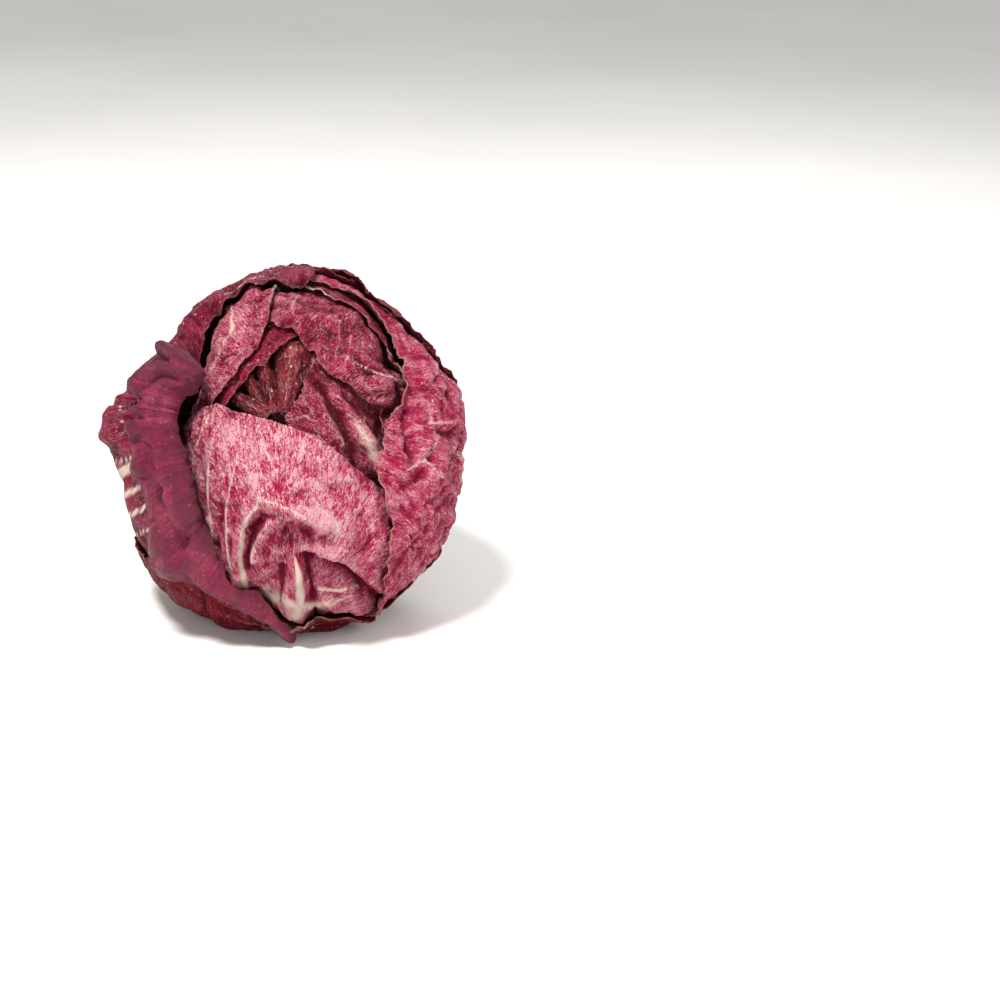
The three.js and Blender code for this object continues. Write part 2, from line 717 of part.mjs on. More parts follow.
    colour: COLOURS.purple,
  },
  {
    ...plain,
    name: "leaf_left_back",
    seed: 37,
    middle: -92,
    semi: [60, 63, 61],
    base: 12,
    floor: 1.9,
    crumple: 0.6,
    rib: 3,
    rim: [
      [-30, 50, -1], [-44, 40, -1], [-54, 24, -1], [-60, 17], [-62, 12], [-58, 6], [-53, 0], [-51, -8],
      [-48, -20], [-44, -34], [-39.5, -45, 0.6], [-31, -53.7, 0], [-20, -60, -1],
    ],
    strokes: [[4, 7, 7, [[-62, 14], [-62, 2]]]],
    colour: COLOURS.purple,
  },
  {
    ...plain,
    name: "leaf_bottom",
    seed: 31,
    middle: 178,
    semi: [61.6, 66, 61],
    base: 12,
    floor: 0,
    ragged: 1,
    crumple: 0.6,
    rib: 3,
    rim: [
      [-54, -10, -1], [-50, -30, -1], [-42, -43], [-30, -48.6], [-20, -52.6], [-10, -59.5],
      [-4, -62.5, 0.3], [1, -63.8, 0], [6, -61.5, 0.6], [12, -59], [20, -58], [30, -59], [38, -56, -1],
      [48, -44, -1], [56, -26, -1],
    ],
    colour: COLOURS.purple,
  },
];

// ---------- assembly ----------
function material(colour, roughness = 0.6) {
  return new THREE.MeshStandardMaterial({ color: colour, roughness, metalness: 0, side: THREE.DoubleSide });
}

function named(name, geometry, colour, roughness) {
  const mesh = new THREE.Mesh(geometry, material(colour, roughness));
  mesh.name = name;
  return mesh;
}

function solid(geometry) {
  return new wasm.Manifold(
    new wasm.Mesh({
      numProp: 3,
      vertProperties: new Float32Array(geometry.attributes.position.array),
      triVerts: new Uint32Array(geometry.index.array),
    }),
  );
}

function fromSolid(manifold) {
  const mesh = manifold.getMesh();
  const geometry = new THREE.BufferGeometry();
  const positions = [];
  for (let i = 0; i < mesh.numVert; i++) {
    positions.push(...mesh.vertProperties.slice(i * mesh.numProp, i * mesh.numProp + 3));
  }
  geometry.setAttribute("position", new THREE.Float32BufferAttribute(positions, 3));
  geometry.setIndex([...mesh.triVerts]);
  geometry.computeVertexNormals();
  return geometry;
}

function stemGeometry(sides) {
  const slope = Math.tan(radians(STEM_HALF_ANGLE));
  const stations = [
    [STEM_NEAR, 1],
    [(STEM_NEAR + STEM_FAR) / 2, 1],
    [STEM_FAR - 1.2, 1],
    [STEM_FAR, 0.88],
  ];
  const positions = [];
  const put = (reach, radius, turn) => {
    const ring = north.clone().multiplyScalar(Math.cos(turn)).addScaledVector(east, Math.sin(turn));
    const p = axis.clone().multiplyScalar(-reach).addScaledVector(ring, radius);
    positions.push(...toWorld(p).toArray());
  };
  put(STEM_NEAR, 0, 0);
  put(STEM_FAR, 0, 0);
  for (const [reach, share] of stations) {
    for (let i = 0; i < sides; i++) {
      const turn = (2 * Math.PI * i) / sides;
      put(reach, reach * slope * share * (1 + 0.05 * Math.cos(5 * turn)), turn);
    }
  }
  const id = (ring, i) => 2 + ring * sides + (i % sides);
  const last = stations.length - 1;
  const faces = [];
  for (let i = 0; i < sides; i++) {
    faces.push([0, id(0, i + 1), id(0, i)], [1, id(last, i), id(last, i + 1)]);
    for (let ring = 0; ring < last; ring++) {
      faces.push([id(ring, i), id(ring + 1, i + 1), id(ring + 1, i)]);
      faces.push([id(ring, i), id(ring, i + 1), id(ring + 1, i + 1)]);
    }
  }
  return meshGeometry(positions, faces);
}

const head = new THREE.Group();
head.name = "radicchio_head";
const drape = new Drape();

const coreGrid = [];
for (let i = 0; i <= 48; i++) {
  coreGrid.push([]);
  for (let j = 0; j <= 24; j++) coreGrid[i].push(corePoint((Math.PI * i) / 24, (Math.PI * j) / 24));
}
drape.add(coreGrid);
let heart = solid(coreGeometry(20, 12));
for (const curl of CURLS) {
  const outer = curlSheet(curl, 9, 7);
  const blade = outer.map((column) => column.map(() => 1.1));
  heart = heart.add(solid(sheetGeometry(outer, blade)));
  drape.add(outer);
}
head.add(named("heart", fromSolid(heart), COLOURS.heart));
head.add(named("stem", stemGeometry(20), COLOURS.stem, 0.7));

const shaped = LEAVES.map((leaf) => {
  const under = drape.soft;
  const sheet = shapeLeaf(leaf, drape, under, null);
  drape.add(sheet.outer);
  return { leaf, under, sheet };
});
for (const { leaf, under, sheet } of shaped) {
  const { outer, thickness } = leaf.flap ? shapeLeaf(leaf, drape, under, drape.soft) : sheet;
  head.add(named(leaf.name, sheetGeometry(outer, thickness), leaf.colour, 0.55));
}

export default head;
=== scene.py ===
"""Radicchio head for Blender 4.5: fine leaves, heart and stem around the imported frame.

Leaves are shaped in millimetres on a tilted drawing frame (x right, y up, w toward the front) by the
same rules as the part's solids, then written as meshes in metres. The rims of the right, left, left
back and bottom leaves and the curls of the heart are drawn anew here.
"""

import math

import bpy
import numpy as np
from mathutils import Matrix, Vector


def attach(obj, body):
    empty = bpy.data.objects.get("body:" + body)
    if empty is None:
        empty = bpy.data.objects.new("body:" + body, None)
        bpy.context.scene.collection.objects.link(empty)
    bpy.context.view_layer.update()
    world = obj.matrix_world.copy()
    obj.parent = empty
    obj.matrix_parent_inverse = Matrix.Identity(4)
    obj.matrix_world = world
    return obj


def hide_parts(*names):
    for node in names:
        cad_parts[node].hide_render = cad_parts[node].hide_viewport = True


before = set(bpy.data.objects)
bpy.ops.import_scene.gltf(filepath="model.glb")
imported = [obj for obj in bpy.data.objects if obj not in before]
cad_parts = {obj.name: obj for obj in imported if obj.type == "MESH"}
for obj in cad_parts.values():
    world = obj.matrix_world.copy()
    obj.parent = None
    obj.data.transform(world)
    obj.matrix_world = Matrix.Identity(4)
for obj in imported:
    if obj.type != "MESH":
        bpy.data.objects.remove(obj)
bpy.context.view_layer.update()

# ---------- the driving dimensions, in mm and degrees, as in the part ----------
HEAD_CENTRE_HEIGHT = 61.0  # the centre that all the leaves wrap around, above the table
HEAD_SHIFT = (0.66, -5.95)  # that centre, from the middle of the part's footprint
LOOK_ELEVATION = 16.0  # the drawing plane is tilted back by this
AXIS_RIGHT, AXIS_UP = -0.146, 0.345  # stem to apex direction on that plane
BLADE = 1.0
BASE_EXTRA = 0.8  # more thickness where a leaf leaves the stem
LAYER_GAP_AT_STEM = 1.6
COLUMN_SPREAD = 45.0  # radius at which the columns of a leaf are kept evenly wide
UNDERSIDE_BEND = 5.0  # how softly the buried layers turn into the flat underside
STEM_HALF_ANGLE = 10.0  # the stem is a cone about the head's axis
STEM_NEAR = 37.0  # the cone's near and far ends, from the head's centre
STEM_FAR = 66.5
LEAF_LENGTH_SCALE = 58.0  # mm of leaf for each radian round the head
STEM_DIP_SPREAD = 38.0  # how far round from the stem the leaves are drawn in toward it

# ---------- and those of the fine pieces ----------
FINE_BLADE = 0.8
FINE_GAP = 0.4  # air between the layers, away from the stem
FLAP_ROLL = 0.2  # share of the flap in which it rolls up out of the head
FLAP_CLEARANCE = 1.5  # how far the rolled flap stands off what it lies on
BACK_DEPTH = 45.0  # how far behind the head's centre a leaf's back has swelled fully
GRAIN_RADIUS = 38.0  # where streaks that fan out from a point are as wide as they are drawn
# The range of hollow and height over which the painted shade and painted highlight still change.
SHADE_RANGE = (-3.0, 0.7)  # mm of hollow and of height that still change the pigment
TABLE_GAP = 0.02  # no point lies lower than this

TILT = math.radians(LOOK_ELEVATION)
AXIS = np.array([AXIS_RIGHT, AXIS_UP, math.sqrt(1 - AXIS_RIGHT**2 - AXIS_UP**2)])
EAST = np.cross([0.0, 1.0, 0.0], AXIS)
EAST /= np.linalg.norm(EAST)
NORTH = np.cross(AXIS, EAST)
DOWN = np.array([0.0, -math.cos(TILT), -math.sin(TILT)])


def to_world(p):
    """Drawing frame in mm -> the part's frame in metres."""
    y = p[..., 1] * math.sin(TILT) - p[..., 2] * math.cos(TILT) + HEAD_SHIFT[1]
    z = HEAD_CENTRE_HEIGHT + p[..., 1] * math.cos(TILT) + p[..., 2] * math.sin(TILT)
    return np.stack([p[..., 0] + HEAD_SHIFT[0], y, z], -1) * 0.001


def smooth(x, low, high):
    t = np.clip((x - low) / (high - low), 0, 1)
    return t * t * (3 - 2 * t)


def hump(distance, width):
    return np.exp(-((distance / width) ** 2))


def length(v):
    return np.linalg.norm(v, axis=-1)


def unit(v):
    return v / np.maximum(length(v), 1e-9)[..., None]


def polar_of(n):
    """Azimuth about the axis (0 up, positive to the right) and angle from the stem."""
    return np.arctan2(n @ EAST, n @ NORTH), np.arccos(np.clip(-(n @ AXIS), -1, 1))


def from_polar(azimuth, polar):
    ring = np.cos(azimuth)[..., None] * NORTH + np.sin(azimuth)[..., None] * EAST
    return np.sin(polar)[..., None] * ring - np.cos(polar)[..., None] * AXIS


def kept_above(p):
    """Points lifted to the table where they would sink into it."""
    height = HEAD_CENTRE_HEIGHT - p @ DOWN
    return p + DOWN * np.minimum(height - TABLE_GAP, 0)[..., None]


# ---------- outlines ----------
SPLINE_STEPS = 24
ELLIPSOID_EDGE = 0.998  # outline points further out than this are drawn back to it


def smooth_curve(points):
    """A smooth dense curve through given points. A third number is +1 in front, -1 behind."""
    p = np.array([(*q, 1.0) if len(q) == 2 else q for q in points], float)
    p = np.vstack([2 * p[0] - p[1], p, 2 * p[-1] - p[-2]])
    t = np.arange(SPLINE_STEPS)[:, None] / SPLINE_STEPS
    dense = []
    for a, b, c, d in zip(p, p[1:], p[2:], p[3:]):
        bend, twist = 2 * a - 5 * b + 4 * c - d, 3 * b - a - 3 * c + d
        dense.append(0.5 * (2 * b + (c - a) * t + bend * t**2 + twist * t**3))
    return np.vstack([*dense, p[-2][None]])


def evenly(dense, count, steps=None):
    """The curve again, as points that share its length, or the given steps along it, evenly."""
    if steps is None:
        steps = length(np.diff(dense, axis=0))
    run = np.r_[0, np.cumsum(steps)]
    want = np.linspace(0, run[-1], count)
    return np.stack([np.interp(want, run, dense[:, k]) for k in range(dense.shape[1])], 1)


def outline_directions(points, leaf, count):
    """An outline pushed onto the leaf's own ellipsoid, as evenly spaced directions."""
    semi, centre = leaf["semi"], leaf["centre"]
    p = smooth_curve(points)
    uv = (p[:, :2] - centre[:2]) / semi[:2]
    r2 = (uv**2).sum(1)
    drawn_in = np.sqrt(ELLIPSOID_EDGE / np.maximum(r2, 1e-9))
    uv = np.where(r2[:, None] > ELLIPSOID_EDGE, uv * drawn_in[:, None], uv)
    w = np.sqrt(1 - (uv**2).sum(1)) * np.clip(p[:, 2], -1, 1)
    dense = unit(np.c_[uv, w]) * semi
    turn = np.abs(np.diff(polar_of(unit(dense / semi))[0]))
    turn = np.minimum(turn, 2 * np.pi - turn)
    steps = np.hypot(length(np.diff(dense, axis=0)), COLUMN_SPREAD * turn)
    return unit(evenly(dense, count, steps) / semi)


# ---------- wrinkles: warped sines, the same for every leaf but its seed ----------
GOLDEN_ANGLE = 2.399963


def ripple(p, wavelength, seed):
    """Smooth uneven waves through space, between about -1 and 1."""
    k = 2 * math.pi / wavelength
    directions = []
    for i in range(4):
        z = ((seed * 7 + i * 5) % 13) / 6 - 1
        a = GOLDEN_ANGLE * (seed * 3 + i * 4 + 1)
        r = math.sqrt(max(0.0, 1 - z * z))
        directions.append(np.array([r * math.cos(a), r * math.sin(a), z]))
    total = 0
    for i, d in enumerate(directions):
        warp = 1.3 * np.sin(0.53 * k * (p @ directions[(i + 1) % 4]) + 2.1 * i)
        total = total + np.sin(k * (p @ d) + 1.7 * i + seed + warp)
    return total / 2.2


def puckers(p, seed, layers):
    """Swells with sharp creases between them. Each layer has a height, a wavelength and a seed step."""
    total = 0
    for height, wavelength, step in layers:
        total = total + height * (np.minimum(np.abs(ripple(p, wavelength, seed + step)), 1) ** 0.7 - 0.6)
    return total


def wander(run, wavelength, seed):
    """Uneven waves along an edge, between about -1 and 1."""
    k = 2 * math.pi / wavelength
    bend = 1.6 * np.sin(0.31 * k * run + seed) + 1.1 * np.sin(0.173 * k * run + 2.3 * seed)
    waves = 0.55 * np.sin(k * run + bend) + 0.3 * np.sin(1.63 * k * run - 1.4 * bend + seed)
    return waves + 0.25 * np.sin(0.41 * k * run + seed)


def raggedness(run, seed):
    """How far a leaf's rim stands out or is torn, along its run in mm."""
    waves = 0.25 * np.sin(run / 2.3 + 2 * np.sin(run / 5.1)) + 0.4 * np.sin(run / 6.1 + 1.1)
    tears = ((0.8, 5.5), (0.5, 2.1), (0.3, 0.9))
    return waves + sum(size * wander(run, wavelength, seed + i) for i, (size, wavelength) in enumerate(tears))


# ---------- lines drawn on the leaves ----------
def line_field(p, line, density=4):
    """Distance to a line on the drawing plane, which side of it, and how far along it, 0 to 1."""
    line = evenly(smooth_curve(line), density * len(line))[:, :2]
    xy = p[..., :2]
    best = np.full(xy.shape[:-1], np.inf)
    side = np.zeros_like(best)
    along = np.zeros_like(best)
    steps = length(np.diff(line, axis=0))
    run = 0.0
    for a, b, step in zip(line[:-1], line[1:], steps):
        s = b - a
        v = xy - a
        t = np.clip((v @ s) / (step * step), 0, 1)
        distance = length(v - t[..., None] * s)
        nearer = distance < best
        best = np.where(nearer, distance, best)
        side = np.where(nearer, s[0] * v[..., 1] - s[1] * v[..., 0], side)
        along = np.where(nearer, (run + t * step) / steps.sum(), along)
        run += step
    return best, side, along


def faded(along, outer, inner):
    """0 past a line's ends, 1 between them."""
    return smooth(along, outer, inner) * (1 - smooth(along, 1 - inner, 1 - outer))


def stroke_height(p, stroke):
    """A rounded ridge, or a hollow, along a line on the front of the head."""
    height, left_width, right_width, line = stroke
    best, side, along = line_field(p, line, 3)
    fade = 0.35 + 0.65 * faded(along, -0.02, 0.12)
    return height * hump(best, np.where(side > 0, left_width, right_width)) * smooth(p[..., 2], -5, 10) * fade


def fold_height(p, fold):
    """Like a stroke, but with a sharp crest or crease."""
    height, left_width, right_width, line = fold
    best, side, along = line_field(p, line)
    crest = np.exp(-np.sqrt((best / np.where(side > 0, left_width, right_width)) ** 2 + 0.02))
    return height * crest * smooth(p[..., 2], -5, 10) * faded(along, -0.04, 0.14)


# ---------- the drape ----------
MAP_AROUND, MAP_ALONG = 240, 120
SHARP_FLOOR = 1.5  # mm over the table, under which the underside isn't bent
LEAST_DROP = 0.2  # rays flatter than this never meet the table


def map_cell(p):
    """Where a point's direction lies on the map, and how far out the point is."""
    r = length(p)
    azimuth, polar = polar_of(p / r[..., None])
    return (azimuth + np.pi) / (2 * np.pi) * MAP_AROUND, polar / np.pi * MAP_ALONG, r


def filtered(grid, combine):
    """Each cell of the map combined with those about it, more of them near its poles."""
    out = np.empty_like(grid)
    for j in range(MAP_ALONG):
        wide = min(round(1 / math.sin(math.pi * (j + 0.5) / MAP_ALONG)), 12)
        rows = [max(j - 1, 0), j, j, min(j + 1, MAP_ALONG - 1)]
        near = [np.roll(grid[:, row], k) for k in range(-wide, wide + 1) for row in rows]
        out[:, j] = combine(near, axis=0)
    return out


class Drape:
    """A map of how far out the layers laid so far reach in each direction."""

    def __init__(self):
        self.reach = np.zeros((MAP_AROUND, MAP_ALONG))
        self.soft = self.reach

    def add(self, grid):
        a, b, r = map_cell(grid)
        column = np.floor(a).astype(int) % MAP_AROUND
        row = np.clip(np.floor(b).astype(int), 0, MAP_ALONG - 1)
        np.maximum.at(self.reach, (column, row), r)
        for i, j, start in zip(column[:, 0], row[:, 0], r[:, 0]):
            if j < MAP_ALONG / 4:
                self.reach[i, : j + 1] = np.maximum(self.reach[i, : j + 1], start)
        self.soft = filtered(filtered(self.reach, np.max), np.mean)


def reach_at(p, soft):
    """The softened map read smoothly between its cells."""
    a, b, _ = map_cell(p)
    x = a - 0.5
    y = np.clip(b - 0.5, 0, MAP_ALONG - 1.001)
    x0 = np.floor(x).astype(int)
    y0 = np.floor(y).astype(int)
    fx, fy = x - x0, y - y0
    here, beside = x0 % MAP_AROUND, (x0 + 1) % MAP_AROUND
    low = soft[here, y0] * (1 - fx) + soft[beside, y0] * fx
    high = soft[here, y0 + 1] * (1 - fx) + soft[beside, y0 + 1] * fx
    return low * (1 - fy) + high * fy


def above_table(r, ray, floor):
    """Radii cut off at a height over the table: sharply for what lies on it, softly for the rest."""
    drop = ray @ DOWN
    limit = (HEAD_CENTRE_HEIGHT - floor) / np.maximum(drop, 1e-6)
    low = np.minimum(r, limit)
    if floor >= SHARP_FLOOR:
        low = low - np.maximum(UNDERSIDE_BEND - np.abs(r - limit), 0) ** 2 / (4 * UNDERSIDE_BEND)
    return np.where(drop < LEAST_DROP, r, low)


# ---------- the leaves, from the heart outward ----------
# middle: azimuth of the midrib. base: degrees from the stem where it leaves it. semi, centre: the leaf's
# ellipsoid, drawn in by the share dip near the stem. floor: how near the table it may come. neck: its
# width at the stem. rim: its outline on the drawing plane. flap: where the rim folded outward ends.
# ragged, curl, flutter: how torn, rolled and wavy the rim is. crumple, crinkle, pleat: relief, from broad
# to fine. hug: how closely the rim lies on what is inside it. back: how far the leaf swells behind the
# head's centre. strokes, folds: height, width to the left and right, line. behind: how much further back
# they reach. pale: strength, width, line. washes: the same, as painted highlight above 0 and painted shade
# below it.
# lateral, rib_pale: strength of its pale veins. grain: the point that its streaks fan out from.
PLAIN = dict(
    slot="outer_leaf", centre=[0, 0, 0], base=13, neck=0.85, dip=0.1, to_rim=1.25, waver=0.03, ragged=0.6,
    crumple=0.8, rib=2.2, curl=0, curl_width=5, crinkle=1, pleat=0.12, hug=0.97, hug_width=9, flutter=1,
    lateral=0.5, rib_pale=0.8, behind=0, back=0, grain=None,
    flap=[], strokes=[], folds=[], pale=[], washes=[],
)
IN_HEART = dict(PLAIN, slot="inner_leaf", centre=[3.5, 0, 0], base=19, rib=0.5, to_rim=1.35, waver=0)
LEAVES = []


def add_leaf(name, kind, **own):
    LEAVES.append(dict(kind, name=name, **own))


add_leaf(
    "leaf_heart_right", IN_HEART, grid=[120, 80], seed=3, middle=120, semi=[35.5, 53.5, 49], dip=0.2,
    floor=16, ragged=1.2, crinkle=0.7,
    rim=[[9, 31.8], [8, 28], [6.4, 23.5], [3.6, 17], [0.4, 12], [1, 7], [-4, 1], [-12, -8]],
    strokes=[[2.4, 2, 4, [[12, 20], [16, 8], [24, -6]]], [2.4, 3.5, 2.5, [[17, 20], [26, 6], [33, -7]]]],
    folds=[
        [-5.5, 2, 1.6, [[9.5, 24], [13.5, 16], [17.5, 7.5], [22, -3.5], [25, -10]]],
        [4, 2, 4, [[12.5, 23], [18, 15], [23, 8], [27.5, 0], [31, -8]]],
        [1.6, 1.4, 2, [[8, 22], [10, 14], [15, 5], [19, -3]]],
        [1.3, 1.5, 1.5, [[4, 14], [9, 8], [14, 0]]],
        [-3.4, 1.2, 1.6, [[18, 18.5], [25, 10.5], [30.5, 3]]],
    ],
    pale=[
        [0.75, 2.6, [[32.5, -9], [29.5, -2], [25.5, 5], [22, 11]]],
        [0.5, 0.5, [[21, -2], [16, 6], [11.5, 15], [9.5, 24]]],
        [0.5, 0.5, [[14, -1], [9, 7], [6, 13], [4, 19]]],
        [0.5, 0.5, [[30, 2], [24, 12], [17.5, 20], [12, 26]]],
    ],
    washes=[
        [1, 3.5, [[24, 8], [30, 1], [33, -6]]],
        [-1.4, 2, [[9.5, 24], [13.5, 16], [17.5, 7.5], [22, -3.5]]],
        [-0.9, 2, [[19, 19], [26, 11], [32, 4]]],
    ],
)
add_leaf(
    "leaf_heart_left", IN_HEART, grid=[100, 70], seed=5, middle=-60, semi=[35.5, 53.5, 50], dip=0.2, floor=16,
    ragged=0.3, crumple=0.5, curl=1.2, curl_width=4, crinkle=0.6, hug=0,
    rim=[
        [12, 44], [7, 40], [1.8, 35.6], [-2.1, 32.9], [-9.4, 27.2], [-12.4, 24.2], [-16.4, 19.1], [-20, 13],
        [-25, 5], [-28, -5],
    ],
    folds=[[-1.6, 1.2, 1.2, [[2, 38.5], [-6, 32.5], [-13, 26.5], [-19, 20]]]],
)
add_leaf(
    "leaf_heart_upper_right", IN_HEART, grid=[150, 90], seed=7, middle=50, semi=[37.5, 55.5, 52], dip=0.18,
    floor=14, ragged=0.8, crinkle=0.9,
    rim=[
        [-12, 50], [-6, 43], [2.5, 38.5], [8.6, 32.2], [13.5, 26.8], [22, 20.7], [27.6, 16.9], [33.2, 12.8],
        [32.3, 8.6], [33.7, 1.1], [34.6, -4.5], [37, -14], [38, -24],
    ],
    strokes=[[3, 7, 1.2, [[19.2, 42.6], [12, 42], [3.4, 42], [-6, 42]]]],
    folds=[
        [4.5, 9, 12, [[36, 27], [39, 12], [38, -6]]],
        [4.5, 9, 9, [[4, 58], [16, 54], [28, 45], [36, 34]]],
        [3, 6, 0.7, [[-8, 41.5], [1.8, 42], [11.7, 41.6], [19, 42], [25, 41.4]]],
        [-1.2, 0.8, 2.2, [[-4, 40.5], [5, 40.6], [14, 40.4], [22, 40.6]]],
        [2.4, 2.2, 2.6, [[18, 32], [26, 27.5], [34, 24.5], [43, 23.2]]],
        [1.8, 1.8, 1.8, [[24, 38], [32, 32], [38, 27], [43, 23.6]]],
        [1.5, 1.8, 1.8, [[27, 18], [33, 20], [40, 22.5]]],
        [1.4, 1.5, 1.5, [[34, 8], [37, 14], [42, 21.5]]],
        [-1.6, 1.6, 1.6, [[22, 31], [28, 26], [36, 22.6]]],
        [1, 2, 2, [[6, 38], [11, 33], [16, 27]]],
        [1.2, 1.2, 1.2, [[2, 53], [1.5, 48], [2.5, 43]]],
    ],
    pale=[
        [0.75, 0.7, [[43, 23.2], [34, 24.8], [26, 27.8], [18, 32]]],
        [0.6, 0.5, [[42, 21.5], [36, 17], [31, 10.5]]],
        [0.6, 0.6, [[4.5, 53], [2, 49], [2.8, 43.5]]],
        [0.45, 0.4, [[43, 24], [33, 30.5], [24, 35.5], [14, 38]]],
        [0.45, 0.4, [[40, 22], [31, 20], [24, 22], [17, 26]]],
    ],
)
add_leaf(
    "leaf_heart_upper_left", IN_HEART, grid=[150, 90], seed=11, middle=-60, semi=[38, 57, 53.5], dip=0.16,
    floor=13, ragged=0.5, curl=1.5, curl_width=3, crinkle=0.8,
    rim=[
        [1, 57, -1], [-1.9, 57.2, 0.7], [-4.1, 50], [-5.9, 43.9], [-10.5, 36], [-15.3, 28.6], [-19.1, 23.8],
        [-22.1, 20], [-29, 11], [-34, 0], [-36, -12],
    ],
    strokes=[
        [1.8, 2.5, 2.5, [[-20, 52], [-18, 44], [-24, 34]]],
        [1.5, 2, 4, [[-8, 52], [-16, 40], [-24, 30]]],
    ],
    folds=[
        [6.5, 9, 9, [[-8, 60], [-20, 54], [-30, 46], [-38, 34], [-39, 16]]],
        [3.4, 2.4, 1, [[-8.5, 55.5], [-13, 48], [-19.6, 39.5], [-25.3, 31], [-30.3, 17.4]]],
        [-2.8, 0.9, 1.6, [[-11, 54.5], [-15.5, 46], [-21.5, 38], [-27, 29]]],
        [2.2, 1.2, 1.6, [[-19.6, 54], [-19.2, 48], [-18.9, 41.6]]],
        [2, 1.6, 1.2, [[-24, 50], [-26, 42], [-30, 34]]],
        [1.2, 2.5, 2.5, [[-9, 47], [-14, 38], [-21, 28]]],
    ],
    pale=[
        [0.9, 0.7, [[-18.7, 40], [-19.2, 48], [-19.8, 54.5]]],
        [0.7, 0.5, [[-30, 34], [-26, 42], [-24, 50]]],
        [0.6, 0.5, [[-33, 26], [-30, 33], [-28.5, 40]]],
        [0.6, 0.5, [[-27, 26], [-19.6, 39], [-13, 47.5], [-9, 55]]],
        [1, 1.3, [[-3.6, 60], [-4, 55], [-4.2, 50], [-5.2, 46]]],
        [0.4, 0.4, [[-24, 22], [-18, 30], [-12, 37], [-8, 43]]],
    ],
)
